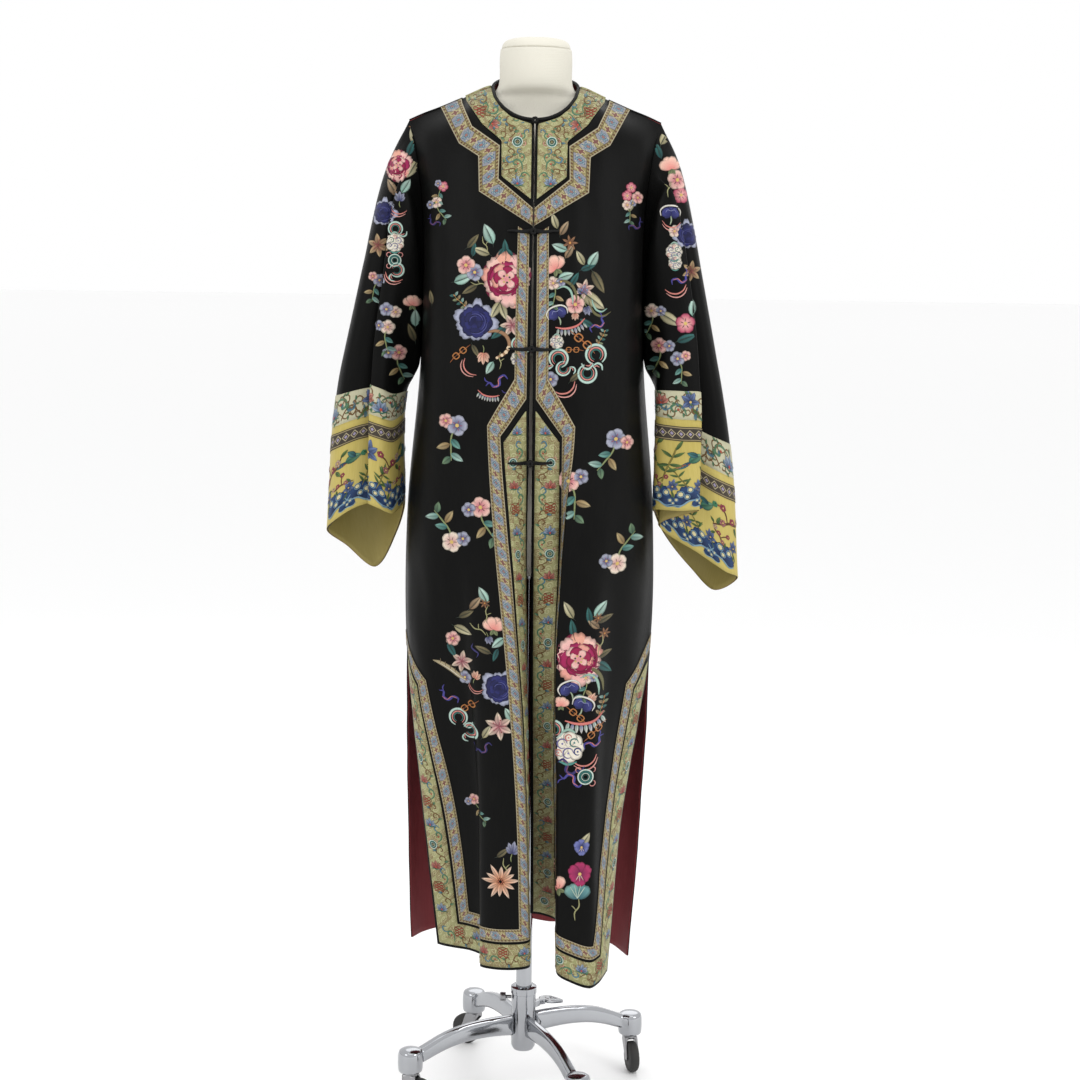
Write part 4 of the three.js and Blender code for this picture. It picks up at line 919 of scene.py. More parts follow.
# Both sides of the yoke and of its ribbon: across from the middle, and up from the floor.
YOKE = {
    "front": ([(4.5, 1394), (4.5, 1450), (4.5, 1503), (18, 1507), (35, 1513), (50, 1526), (61, 1543),
               (66, 1560)],
              [(4.5, 1394), (47, 1426), (48, 1478), (77, 1502), (102, 1539), (104, 1547)]),
    "back": ([(0, 1466), (0, 1520), (0, 1576), (32, 1575), (56, 1571), (67, 1561)],
             [(0, 1466), (50, 1474), (76, 1492), (96, 1520), (102, 1539), (104, 1547)])}
YOKE_RIBBON = {
    "front": ([(0.8, 1381), (51, 1423), (50, 1471), (91, 1499), (108, 1537), (110, 1545)],
              [(0.8, 1355), (80, 1404), (82, 1455), (110, 1473), (140, 1528), (142, 1532)]),
    "back": ([(0, 1459), (52, 1467), (82, 1489), (104, 1518), (110, 1537), (111, 1545)],
             [(0, 1428), (62, 1438), (104, 1466), (132, 1506), (142, 1528), (143, 1532)])}


def resample(path, count):
    path = np.array(path, float)
    run = np.concatenate([[0], np.cumsum(np.linalg.norm(np.diff(path, axis=0), axis=1))])
    places = np.linspace(0, run[-1], count)
    return np.stack([np.interp(places, run, path[:, k]) for k in (0, 1)], axis=1)


# %% Borders, ribbons and yoke
CHEST_ROW = 4 * PER_LEVEL + 13     # the yoke lies on the rows from here up
charts = {}
for name, side in SIDES.items():
    for face, width in WIDTHS.items():
        panel = f"{face}_{name}"
        part = cloth[panel]
        chart = Chart(part, panel_chart(part, width, face == "front"))
        seen = Chart(part, seen_chart(part, side), slice(CHEST_ROW, None))
        charts[panel] = (chart, seen)
        yoke = [resample(path, 48) for path in YOKE[face]]
        bands = [
            ("brocade_border", chart, *border_outline(width, face), 35.5, brocade),
            ("woven_ribbon", chart, *ribbon_outline(width, face), 20.0, ribbon),
            ("brocade_yoke", seen, *yoke, 60.0, brocade, YOKE_LIFT, 16),
            ("woven_yoke_ribbon", seen, *YOKE_RIBBON[face], 20.0, ribbon)]
        pieces[f"trims_{panel}"] = []
        for label, *facts in bands:
            band = lay_band(f"{label}_{panel}", *facts)
            kind, part_of = label.split("_", 1)
            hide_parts(f"{part_of}_{panel}")
            "brocade" if kind == "brocade" else "ribbon"
            pieces[f"trims_{panel}"].append(band)
print("trims laid on", len(charts), "panels")

# %% [markdown]
# ## Cuffs and lining
# A cream floral band, a yellow satin cuff with a dark ribbon near its top, and a facing turned
# inside, coloured as the yellow satin darkened to olive as painted shade. The back panels' lining shows at
# the slits.

# %% Cuffs
def sleeve_rows(part, start, end, count, lift):
    rows = []
    for v in np.linspace(start, end, count):
        j = v * PER_LEVEL
        low = min(int(j), len(part.grid) - 2)
        t = j - low
        grid = part.grid[low] * (1 - t) + part.grid[low + 1] * t
        normals = part.normals[low] * (1 - t) + part.normals[low + 1] * t
        rows.append(grid + normals * lift)
    return np.array(rows)


# name, where it starts and ends in levels down the sleeve, height over the silk, cloth
CUFFS = [("cuff_floral", 3.0, 3.25, 0.5, cuff_floral), ("cuff_satin", 3.25, 4.0, 0.5, cuff_satin),
         ("cuff_ribbon", 3.31, 3.43, 1.2, cuff_ribbon), ("cuff_facing", 3.5, 3.998, -2.2, facing)]
for name in SIDES:
    part = cloth[f"sleeve_{name}"]
    pieces[f"trims_sleeve_{name}"] = []
    for label, start, end, lift, material in CUFFS:
        count = max(5, round((end - start) * PER_LEVEL) + 1)
        rows = sleeve_rows(part, start, end, count, lift)
        flat = flat_lengths(rows)
        if label == "cuff_ribbon":
            flat[..., 1] = np.linspace(0, 18, count)[:, None]
        piece = sew(f"{label}_cloth_{name}", rows, material, closed=True, flat=flat)
        away = rows - sleeve_rows(part, start, end, count, 0)   # out, and for the facing in
        outward_faces(piece, away, closed=True)
        thicken(piece, 0.5, offset=math.copysign(1.0, lift))
        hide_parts(f"{label}_{name}")
        "facing" if label == "cuff_facing" else label
        pieces[f"trims_sleeve_{name}"].append(piece)

# %% Lining of the back panels
SLIT_ROWS = slice(SLIT * PER_LEVEL + 1)
for name in SIDES:
    part = cloth[f"back_{name}"]
    piece = sew(f"lining_cloth_{name}", part.raised(-2.1)[SLIT_ROWS], lining)
    outward_faces(piece, -part.normals[SLIT_ROWS])
    thicken(piece, 0.5)
    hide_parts(f"lining_back_{name}")
    pieces[f"lining_{name}"] = piece

# %% [markdown]
# ## Neck binding and knotted frogs
# A round black cord binds the neck. Each frog is a flat twisted cord on both sides of
# the opening, with a ball knot in the middle.

# %% Cord
def cord_shader():
    shader = Shader("cord", 0.6)
    shader.main.inputs["Specular IOR Level"].default_value = 0.2
    _, u, v = shader.flat()
    # The crests of the twisted strands are painted lighter and the grooves darker, as painted highlight
    # and painted shade; the same ridges make the bump.
    strand = (u * 1.9 + v * 0.9).sin().abs()
    colour = shader.paint(shade("060606"), (strand * 0.6, shade("121211")))
    return shader.finish(colour, strand, 0.0004, shader.worn() * 0.2 + 0.45)


cord = cord_shader()


def tube(name, points, radii, material, sides=12):
    """A round tube through points, with a radius at each."""
    points = np.asarray(points, float)
    runs = np.gradient(points, axis=0)
    runs /= np.linalg.norm(runs, axis=1, keepdims=True)
    steps = np.linalg.norm(np.diff(points, axis=0), axis=1)
    lengths = np.concatenate([[0], np.cumsum(steps)])
    turns = np.linspace(0, 2 * math.pi, sides + 1)
    rows, flat = [], []
    for point, run, radius, length in zip(points, runs, radii, lengths):
        across = np.cross(run, (0, -1, 0.001))
        across /= np.linalg.norm(across)
        out = np.cross(across, run)
        rows.append([point + across * radius * math.cos(t) + out * radius * math.sin(t) for t in turns])
        flat.append([(length, t * radius) for t in turns])
    piece = sew(name, np.array(rows), material, flat=np.array(flat))
    close_up(piece.data)
    piece.data.polygons.foreach_set("use_smooth", [True] * len(piece.data.polygons))
    return piece


BINDING_RADIUS = 2.6


def edge_point(part, i):
    """A point just over the cloth's top edge, for the binding."""
    rise = part.grid[-1, i] - part.grid[-4, i]
    return part.grid[-1, i] + rise / np.linalg.norm(rise) * 2.2 - part.normals[-1, i] * 0.3


def neck_line(name):
    front, back = cloth[f"front_{name}"], cloth[f"back_{name}"]
    return ([edge_point(front, i) for i in range(0, NECK_LINE * PER_LINE + 1, 2)]
            + [edge_point(back, i) for i in range(BACK_NECK_LINE * PER_LINE + 2, len(BACK_ACROSS), 2)])


ring = np.array([*neck_line("right"), *neck_line("left")[::-1][1:]])
for _ in range(3):
    ring[1:-1] = (ring[:-2] + ring[1:-1] * 2 + ring[2:]) / 4
neck = tube("neck_binding_cord", ring, [BINDING_RADIUS] * len(ring), cord)
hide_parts("neck_binding")

# %% Frogs
# name, height, and how far each arm reaches from the middle
FROGS = [("frog_chest", 1348, 38), ("frog_waist", 1179, 34), ("frog_hip", 1013, 33)]
KNOT_RADIUS = 5.4
ARM_POINTS = 41
front_tree = {name: grid_tree(cloth[f"front_{name}"].grid) for name in SIDES}


def front_depth(x, z):
    tree = front_tree["left" if x >= 0 else "right"]
    found = tree.ray_cast((x or 2, -600, z), (0, 1, 0))[0]
    return found[1] if found else -138.0


def ball_knot(name, centre):
    """A ball of three crossing cord loops, for a button."""
    turns = np.linspace(0, 2 * math.pi, 121)
    wave = 1 + 0.42 * np.cos(5 * turns)
    loop = np.stack([np.cos(2 * turns) * wave, 0.62 * np.sin(5 * turns), np.sin(2 * turns) * wave],
                    axis=1)
    loop /= np.linalg.norm(loop, axis=1, keepdims=True)
    loop = loop * (KNOT_RADIUS * 0.62) + np.array(centre)
    return tube(name, loop, [KNOT_RADIUS * 0.4] * len(loop), cord, sides=8)


for node, z, reach in FROGS:
    xs = np.linspace(-reach, reach, ARM_POINTS)
    ys = np.array([min(front_depth(x, z + dz) for dz in (-2, 0, 2)) for x in xs])
    for _ in range(6):
        ys[1:-1] = np.minimum(ys[1:-1], (ys[:-2] + ys[2:]) / 2)
    arms = np.stack([xs, ys - 2.6, z + 0.6 * np.cos(xs / 5)], axis=1)
    radii = np.interp(np.abs(xs), [0, 6, 12, reach - 3, reach], [3.0, 3.2, 2.6, 1.7, 0.7])
    bar = tube(f"{node}_cord", arms, radii, cord)
    knot = ball_knot(f"{node}_knot", (0, ys[ARM_POINTS // 2] - 5.0, z))
    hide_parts(node)
knot = ball_knot("frog_neck_knot", (0, ring[0][1] - 7.2, ring[0][2] - 1))
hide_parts("frog_neck")

# %% [markdown]
# ## Satin stitch
# Every motif is made of petals and strokes of thread, domed a little as satin stitch is.
# A `Needle` collects them in a flat place of its own, and `embroider` lays that place on
# the cloth. Thread colours are kept on the points, and the stitches run along "flat".

# %% Thread and needle
STITCH = 0.9       # pitch of the threads


def thread_shader():
    shader = Shader("thread", 0.42)
    shader.main.inputs["Specular IOR Level"].default_value = 0.22
    flat, u, v = shader.flat()
    colour = shader.node("ShaderNodeAttribute")
    colour.attribute_name = "thread"
    lay = (v * (math.pi / STITCH) + (u * 0.12).sin() * 0.5).sin().abs()
    uneven = shader.number(shader.node("ShaderNodeTexNoise", Vector=flat, Scale=0.9, Detail=3.0))
    # The grooves between the stitches are painted darker here, as painted shade, and the noise adds a real
    # unevenness of tone.
    tone = ((uneven - 0.5) * 0.9 + lay * -0.25 + 0.22).clamp()
    painted = shader.paint(colour.outputs["Color"], (tone, (0.02, 0.018, 0.02)))
    return shader.finish(painted, lay, 0.0003, uneven * 0.2 + 0.32)


thread = thread_shader()


class Needle:
    def __init__(self):
        self.points, self.heights, self.colours, self.flats, self.faces = [], [], [], [], []
        self.count = 0
        self.at(0, 0)

    def at(self, x, y, size=1.0, turn=0.0, flip=1):
        """Moves to a new place. size scales what follows, and turn is in degrees."""
        self.x, self.y, self.size, self.flip = x, y, size, flip
        self.cos, self.sin = math.cos(math.radians(turn)), math.sin(math.radians(turn))
        return self

    def patch(self, grid, heights, colours, flats):
        rows, columns = grid.shape[:2]
        first = len(self.points)
        px, py = grid[..., 0] * self.size * self.flip, grid[..., 1] * self.size
        place = np.stack([self.x + px * self.cos - py * self.sin,
                          self.y + px * self.sin + py * self.cos], axis=-1)
        self.points += place.reshape(-1, 2).tolist()
        self.heights += np.broadcast_to(heights, (rows, columns)).ravel().tolist()
        self.colours += np.broadcast_to(colours, (rows, columns, 3)).reshape(-1, 3).tolist()
        self.flats += (flats * self.size).reshape(-1, 2).tolist()
        self.faces += grid_faces(rows, columns, first=first)

    def petal(self, angle, length, width, inner, outer, layer=0, kind="fan", notch=0.0, start=0.0,
              centre=(0, 0)):
        """One petal from the centre outwards, wide at its end like a fan."""
        fine = 7 if length * self.size > 13 else 5
        t = np.linspace(0, 1, fine)[:, None]
        s = np.linspace(-1, 1, fine)[None, :]
        if kind == "fan":
            side = s * width / 2 * np.sin(math.pi / 2 * t ** 0.62)
            reach = length * t * (1 - 0.32 * s ** 2 - notch * np.exp(-(s / 0.28) ** 2))
        else:
            side = s * width / 2 * np.sin(math.pi * t ** 0.8) ** 0.85
            reach = length * t + 0 * s
        reach = reach + start
        turn = math.radians(angle)
        grid = np.stack([centre[0] + reach * math.cos(turn) - side * math.sin(turn),
                         centre[1] + reach * math.sin(turn) + side * math.cos(turn)], axis=-1)
        blend = (t ** 1.1 + 0 * s)[..., None]
        inner, outer = np.array(shade(inner)), np.array(shade(outer))
        colours = inner + (outer - inner) * blend
        if kind == "leaf":
            colours = colours * np.where(s > 0, 1.0, 0.72)[..., None]
            colours = colours * np.where(np.abs(s) < 0.1, 0.6, 1.0)[..., None]
        rim = np.where((np.abs(s) > 0.99) | (t > 0.99), 0.34, 1.0)
        self.count += 1
        dome = 0.24 * (1 - s ** 2) * np.sin(math.pi * np.clip(t, 0.06, 0.94))
        heights = 0.1 + layer * 0.16 + 0.02 * (self.count % 4) + dome
        flats = np.stack([reach + 0 * s, side + 0 * t], axis=-1)
        self.patch(grid, heights, colours * rim[..., None], flats)

    def blade(self, angle, length, width, inner, outer, layer=0, centre=(0, 0), start=0.0):
        """A pointed leaf or petal."""
        self.petal(angle, length, width, inner, outer, layer, "leaf", start=start, centre=centre)

    def stroke(self, path, width, colour, layer=0, taper=0.6):
        """A line of thread through a few points, thinner at its ends."""
        path = np.array(path, float)
        closed = np.allclose(path[0], path[-1]) and len(path) > 3
        if closed:
            path = path[:-1]
        length = np.sum(np.linalg.norm(np.diff(path, axis=0), axis=1))
        spans = len(path) if closed else len(path) - 1
        count = int(np.clip(length * self.size / 2.4, 3 * spans, 48)) + 1
        places = np.linspace(0, spans - (1e-6 if closed else 0), count)
        line = smooth(path[:, None, :], places, closed)[:, 0]
        run = np.gradient(line, axis=0)
        run /= np.maximum(np.linalg.norm(run, axis=1, keepdims=True), 1e-9)
        t = np.linspace(0, 1, count)
        half = width / 2 * (np.ones(count) if closed else 1 - taper * np.abs(2 * t - 1) ** 2.5)
        s = np.array([-1.0, -0.45, 0.45, 1.0])
        across = np.stack([-run[:, 1], run[:, 0]], axis=1)
        grid = line[:, None] + across[:, None] * (half[:, None] * s[None, :])[..., None]
        base = np.array(shade(colour))
        colours = np.where((np.abs(s) > 0.9)[None, :, None], base * 0.5, base)
        heights = 0.14 + layer * 0.16 + 0.24 * (1 - s ** 2)
        lengths = np.linspace(0, length, count)
        flats = np.stack([half[:, None] * s + 0 * lengths[:, None],
                          lengths[:, None] + 1.2 * s[None, :]], axis=-1)
        self.patch(grid, heights, colours, flats)

    def ball(self, x, y, radius, colour, layer=2):
        """A French knot."""
        turn = np.linspace(0, 2 * math.pi, 7)[None, :]
        r = np.array([0.02, 0.6, 1.0])[:, None] * radius
        grid = np.stack([x + r * np.cos(turn), y + r * np.sin(turn)], axis=-1)
        heights = 0.2 + layer * 0.16 + 0.4 * (1 - (r / radius) ** 2)
        flats = np.stack([r * np.cos(turn), r * np.sin(turn)], axis=-1)
        self.patch(grid, heights, np.array(shade(colour)), flats)


def arc(radius, start, end, count=7, x=0.0, y=0.0, squash=1.0):
    turns = np.radians(np.linspace(start, end, count))
    return [(x + radius * math.cos(t), y + radius * squash * math.sin(t)) for t in turns]


def ray(angle, *reaches):
    """Places in one direction from the centre, at some distances."""
    turn = math.radians(angle)
    return [(reach * math.cos(turn), reach * math.sin(turn)) for reach in reaches]


# %% [markdown]
# ## Motifs
# Each motif is drawn at about 10 mm from its centre to its edge, and is sized and turned
# when it is placed: peonies, small blossoms, lilies, daisies, leaves, sprays, fungus
# heads, scrolls, knotted cords, ribbon ties, vases, coins and fringes.

# %% Flowers
PEONY_PETALS = [(82, 10.6, 8.4), (118, 9.8, 7.6), (150, 10.0, 7.2), (186, 9.0, 7.6), (222, 9.6, 7.4),
                (262, 10.8, 8.6), (300, 9.6, 7.8), (336, 8.8, 7.2), (12, 9.8, 7.8), (48, 9.8, 7.6)]


def peony(n, deep="8e1844", pale="f1c8bb", warm="e8a892", rose="d8788a"):
    """Pale lobed petals over deep ones, with a curled heart."""
    for k, (angle, reach, wide) in enumerate(PEONY_PETALS):
        n.petal(angle + 16, reach * 0.93, wide, deep, deep, 0)
        n.petal(angle, reach, wide * 0.8, rose if k % 3 else warm, pale if k % 4 else warm, 1,
                notch=0.12, start=0.2)
    for k in range(5):
        n.petal(72 * k + 26, 7.6 - 0.8 * (k % 2), 7.0, deep, "a8205a", 2, notch=0.1)
        n.petal(72 * k + 54, 6.6 - 0.7 * (k % 3), 4.8, rose, pale if k % 2 else warm, 3, notch=0.12)
    for k in range(4):
        n.petal(90 * k + 10, 4.8, 4.8, deep, "9c1c4c", 4)
        n.petal(90 * k + 48, 4.0 - 0.5 * (k % 2), 3.0, "d98a90", pale, 5)
    n.stroke(arc(5.4, 200, 320, 7, 0.6, 0.4), 1.1, deep, 6)
    n.stroke(arc(6.0, -40, 70, 7, 0.4, -0.2), 1.0, deep, 6)
    for k in range(7):
        n.ball(*ray(51 * k, 1.3)[0], 0.4, "3a3a34" if k % 2 else "c9b06a", 6)


def blue_peony(n, dark="10123a", mid="1f2256", pale="b9bdd2"):
    """Dark folded petals with pale turned tips, wider than tall."""
    for angle, reach, wide in ((20, 10.6, 6.4), (62, 8.6, 5.4), (96, 10.8, 4.4), (136, 9.6, 6.2),
                               (186, 10.8, 6.2), (228, 9.4, 6.4), (268, 8.4, 5.8), (312, 9.6, 6.0),
                               (344, 9.2, 5.0)):
        n.petal(angle, reach, wide, mid, pale, 0, notch=0.1)
        n.petal(angle, reach * 0.7, wide * 1.1, dark, mid, 1)
    for row, (count, reach, wide) in enumerate(((7, 7.4, 6.0), (6, 5.4, 5.0), (5, 3.4, 3.6))):
        for k in range(count):
            n.petal(360 * k / count + 31 * row, reach, wide, dark, "2c2f70" if k % 2 else mid, 2 + row,
                    notch=0.1)
    for k in range(4):
        n.stroke(arc(2.4 + 0.9 * k, 60 * k, 60 * k + 110, 5), 0.4, "565a9a", 6)


def blossom(n, inner="b8506a", outer="f2cdbc", heart="3a3028"):
    for k in range(5):
        n.petal(90 + 72 * k, 10, 9.4, inner, outer, k % 2, notch=0.06)
        n.stroke(ray(90 + 72 * k, 2, 5), 0.7, heart, 2)
    n.ball(0, 0, 1.8, "d8b96c", 3)


blue_blossom = partial(blossom, inner="34386a", outer="b9bccb", heart="a84a62")
cream_blossom = partial(blossom, inner="c98f8f", outer="efe4cf", heart="6a5a3a")
magenta_blossom = partial(blossom, inner="f0b7b0", outer="b02a5c", heart="2a2a2a")


def half_blossom(n):
    for k in range(4):
        n.petal(35 + 37 * k, 11, 8.4, "e0867e", "f3cdb8", k % 2, notch=0.05)
    for angle in (-60, -120):
        n.blade(angle, 6, 3.6, "6f7a54", "8f9a6c")


def lily(n, inner="c07d86", outer="e9dcc0"):
    for k in range(6):
        n.blade(20 + 60 * k + 5 * math.sin(7 * k), 10.5, 5.2, inner, outer, k % 2)
    for k in range(5):
        n.stroke(ray(30 + 72 * k, 0, 4.4), 0.5, "a8505e", 3)
        n.ball(*ray(30 + 72 * k, 4.6)[0], 0.5, "8a3a3a", 3)


gold_lily = partial(lily, inner="8e5a48", outer="c9b184")


def tulip(n, inner="d98a72", outer="f0cdb4"):
    for angle, reach in ((90, 11), (62, 10), (118, 10), (38, 7.5), (142, 7.5)):
        n.blade(angle, reach, 4.8, inner, outer, 1 + (angle == 90), centre=(0, -4))
    n.stroke([(0, -4), (0.4, -8), (-0.6, -11)], 0.9, "97a06c")


violet_tulip = partial(tulip, inner="353a70", outer="b3b6c9")


def daisy(n, inner="d78f66", outer="f3d9c2"):
    for k in range(12):
        n.blade(30 * k + 4 * math.sin(5 * k), 10.5 - 2.2 * (k % 2), 3.0, inner, outer, k % 2, start=1.5)
    for k in range(6):
        n.ball(*ray(60.16 * k, 1.4)[0], 0.6, "a8624a", 3)


def pansy(n, inner="6b1f4a", outer="b93468"):
    for angle, reach in ((90, 9), (30, 9), (150, 9), (-30, 8), (-150, 8), (-90, 9.5)):
        n.petal(angle, reach, 8.0, inner, outer, abs(angle) // 60, notch=0.1)
    for angle in (-60, -90, -120):
        n.stroke(ray(angle, 0, 5), 0.5, "f0d9c9", 4)
    n.ball(0, 0, 1.2, "e0c070", 5)


blue_pansy = partial(pansy, inner="20265e", outer="7f86c2")


def star(n):
    for k in range(7):
        n.blade(360 / 7 * k, 10, 3.4, "6f4434", "b88a62", k % 2)
    n.ball(0, 0, 1.6, "c58b4a")


# %% Leaves, sprays and stems
def leaf(n, inner, outer, wide):
    n.blade(0, 22, wide, inner, outer, 0, centre=(-10, 0))
    n.stroke([(-13, -0.8), (-9.5, 0), (0, 0.4), (8.5, 0)], 0.6, "39463c", 3)


mint_leaf = partial(leaf, inner="8db7a8", outer="c3dccf", wide=11.5)
teal_leaf = partial(leaf, inner="1f4a4c", outer="3a746f", wide=8.4)
olive_leaf = partial(leaf, inner="4f4832", outer="8a7f5c", wide=8.0)
tan_leaf = partial(leaf, inner="84684c", outer="bfa888", wide=9.4)
cream_leaf = partial(leaf, inner="9b936c", outer="d6cfac", wide=9.6)


def heart_leaf(n):
    n.petal(60, 11, 10, "2b5a66", "6fa0a0", 0, notch=0.1)
    n.petal(120, 11, 10, "2b5a66", "86b3aa", 1, notch=0.1)
    for angle in (60, 78, 102, 120):
        n.stroke([(0, 0.5), *ray(angle, 9)], 0.6, "c7dccb", 3)


def sprig(n, bloom=cream_blossom):
    """A stem with leaves, and a flower and a smaller one at its head."""
    n.size *= 1.45
    n.stroke([(0, 8), (1.0, 2), (-1.2, -5), (-4, -12)], 1.1, "8f9a68")
    for angle, reach, inner, outer, at in (
            (205, 8, "2f6a66", "7fb0a4", (0.6, 0)), (-38, 9, "8a7048", "c3b083", (0, -3)),
            (190, 9, "5f8f86", "b9d5c8", (-2, -8)), (-60, 7, "3a5a4a", "7d9a76", (-3, -10))):
        n.blade(angle, reach, 4.2, inner, outer, 1, centre=at)
    hold = (n.x, n.y, n.size)
    n.x, n.y = n.x - 9 * n.size * n.sin, n.y + 9 * n.size * n.cos
    n.size *= 0.66
    bloom(n)
    n.x, n.y = n.x + 11 * n.size * n.cos, n.y + 11 * n.size * n.sin
    n.size *= 0.72
    (blossom if bloom is blue_blossom else blue_blossom)(n)
    n.x, n.y, n.size = hold


blue_sprig = partial(sprig, bloom=blue_blossom)
pink_sprig = partial(sprig, bloom=blossom)
magenta_sprig = partial(sprig, bloom=magenta_blossom)


def spray(n):
    """A branch with leaves in pairs and small orange berries."""
    n.stroke([(-10, -9), (-5, -5), (0, -1), (6, 4), (10, 9)], 0.9, "98935f")
    for k, (x, y) in enumerate(((-6, -6), (-1, -2), (4, 2), (8, 7))):
        pair = ("5f8f86", "b4d2c6") if k % 2 else ("7d6a45", "bda883")
        other = ("234f50", "4f8a82") if k % 2 else ("6d7a58", "a9b08a")
        n.blade(100 + 8 * k, 7.5, 4.0, *pair, 1, centre=(x, y))
        n.blade(-28 + 10 * k, 7.5, 4.0, *other, 1, centre=(x, y))
        n.ball(x, y, 0.8, "c97a3e", 3)
        n.ball(x + 1.2, y + 0.9, 0.7, "d99a5e", 3)


def stem(n):
    n.stroke([(-10, 0), (-3, 1.6), (3, -1.0), (10, 0.6)], 1.3, "aaa878")
    n.stroke([(-1, 0.6), (1.5, 3.6), (2.4, 5.4)], 0.9, "aaa878")


# %% Fungus heads, scrolls, cords, ties and vessels
def fungus(n):
    """A kidney-shaped head with a pale rim."""
    for k, (angle, reach, wide) in enumerate(((90, 8.5, 11), (38, 9.5, 10), (142, 9.5, 10),
                                              (10, 7, 6), (170, 7, 6))):
        n.petal(angle, reach, wide, "1d2052", "43478a", k % 3, centre=(0, -3))
    n.stroke([(-9, -3), (-9.5, 2), (-6, 5.6), (0, 6.6), (6, 5.6), (9.5, 2), (9, -3)], 1.6, "e8e4da", 4)
    n.stroke([(-5, 0), (-3, 2.6), (0, 1.6), (3, 2.6), (5, 0)], 0.6, "9aa0cc", 4)
    n.stroke([(0, -3), (0.6, -7), (-0.6, -11)], 1.4, "a8b89a")


def scroll(n):
    """A ringed ribbon scroll in mint, rose and teal."""
    for radius, wide, colour in ((9.0, 2.6, "bcd8cc"), (6.4, 1.5, "e2938a"), (4.6, 1.6, "39736c")):
        n.stroke(arc(radius, -70, 235, 12), wide, colour, 2)
    n.stroke([(-5.5, -7.5), (-10, -10), (-14, -8), (-15, -3)], 2.2, "bcd8cc", 1)
    n.stroke([(-5.5, -5.5), (-9, -7.5), (-12, -6)], 1.2, "e2938a", 2)


def cords(n):
    """Two orange lozenges knotted on a cord."""
    n.stroke([(-10, 8), (-5, 4), (0, 0), (6, -5), (10, -10)], 1.1, "a8643a", 1)
    for x, y in ((-3, 2.4), (4, -3.4)):
        lozenge = [(x - 3.4, y), (x, y + 3.2), (x + 3.4, y), (x, y - 3.2), (x - 3.4, y)]
        n.stroke(lozenge, 1.2, "c07f48", 2, 0.0)
        n.ball(x, y, 0.9, "2a2018", 3)


def tie(n, first="4b4796", second="e18a82"):
    """A fluttering ribbon tie with a forked end."""
    path = [(-10, 5), (-6, 8), (-2, 4), (-3, -2), (2, -5), (7, -2), (10, -6)]
    n.stroke(path, 2.8, first, 1, 0.75)
    n.stroke([(x + 0.8, y - 1.0) for x, y in path[1:5]], 0.9, second, 3)
    n.stroke([(7, -2), (11, -1), (13, 2)], 1.4, first, 1)


dull_tie = partial(tie, first="39346e", second="8f5a78")


def vase(n):
    """A round jar with curled clouds on it."""
    for k in range(9):
        n.petal(40 * k, 9.6, 8.4, "e6dfcc", "efe8d8", k % 3)
    for x, y, r, colour in (
            (-3.5, 2, 2.8, "7a74a8"), (3.4, 2.6, 2.4, "4f8580"), (0, -3.6, 3.0, "7a74a8"),
            (-5.6, -3.4, 1.8, "d98f86"), (5.4, -2.6, 2.0, "39407f"), (0, 5.6, 1.8, "d98f86")):
        n.stroke(arc(r, 0, 300, 8, x, y), 0.8, colour, 4)
        n.ball(x, y, 0.6, colour, 5)
    n.stroke([(-4, 8.6), (0, 10.4), (4, 8.6)], 1.8, "9fc0b0", 3)
    n.stroke([(-5, -8.6), (0, -10.2), (5, -8.6)], 1.6, "5a9a90", 3)


def coin(n):
    for radius, wide, colour in ((9.0, 1.8, "cfe0d4"), (6.6, 2.2, "2f6f68"), (4.6, 1.0, "cfe0d4")):
        n.stroke(arc(radius, 0, 360, 13), wide, colour, 2, 0.0)
    n.stroke([(-2.2, -2.2), (-2.2, 2.2), (2.2, 2.2), (2.2, -2.2), (-2.2, -2.2)], 1.0, "1f4f4a", 4, 0.0)
    for angle in (135, 45, -45):
        n.stroke(arc(3.4, angle - 120, angle + 120, 7, *ray(angle, 12)[0]), 1.3, "e39a92", 1)


def fringe(n):
    """A rose band with a fringe of white and blue petals."""
    n.stroke([(-12, 2), (-6, -0.6), (0, -1.4), (6, -0.6), (12, 3)], 1.8, "e0827a", 3)
    for k in range(9):
        x = -10 + 2.5 * k
        n.blade(-90 + 2.2 * x, 6.0, 2.3, "5c6a9c" if k % 2 else "8fb0a8", "efe9dd", k % 2,
                centre=(x, -1.4 + 0.02 * x * x))


def arcs(n):
    """Long curved leaves, olive outside and mint inside."""
    n.stroke([(-10, 6), (-2, 9), (5, 6), (9, -1), (10, -9)], 2.6, "6e6a46", 1, 0.8)
    n.stroke([(-7, 2), (-1, 4.4), (4, 1.6), (6.4, -5), (6.6, -11)], 2.0, "9fc4b2", 2, 0.8)


def feather(n):
    n.stroke([(-14, -3), (-8, -1.6), (0, 1.4), (8, 3), (14, 3)], 3.6, "b3a583", 1, 0.9)
    n.stroke([(-13, -3), (-8, -2), (0, 0.8), (8, 2.6)], 0.8, "ece3cd", 3)
    for k in range(5):
        n.stroke([(-8 + 4 * k, -1 + k), (-7 + 4 * k, 2.4 + k)], 0.7, "7a6a52", 2)


def smile(n):
    """Two rose lines side by side."""
    n.stroke([(-10, 4), (-6, -1), (0, -3.4), (6, -2), (10, 2)], 1.4, "e28f84", 1)
    n.stroke([(-10, 0.4), (-6, -4.4), (0, -6.8), (6, -5.2), (10, -1)], 1.2, "e9aaa0", 1)


def gold_curl(n):
    n.stroke([(9, 9), (3, 10), (-4, 7), (-7, 0), (-4, -6), (3, -10)], 2.8, "a07a5a", 1, 0.5)
    for k, (x, y) in enumerate(((-6.4, -2.4), (-4.6, -5.4), (-1.6, -7.8), (2, -9.8))):
        n.ball(x, y, 1.7 - 0.2 * k, "e0c8a6", 4)


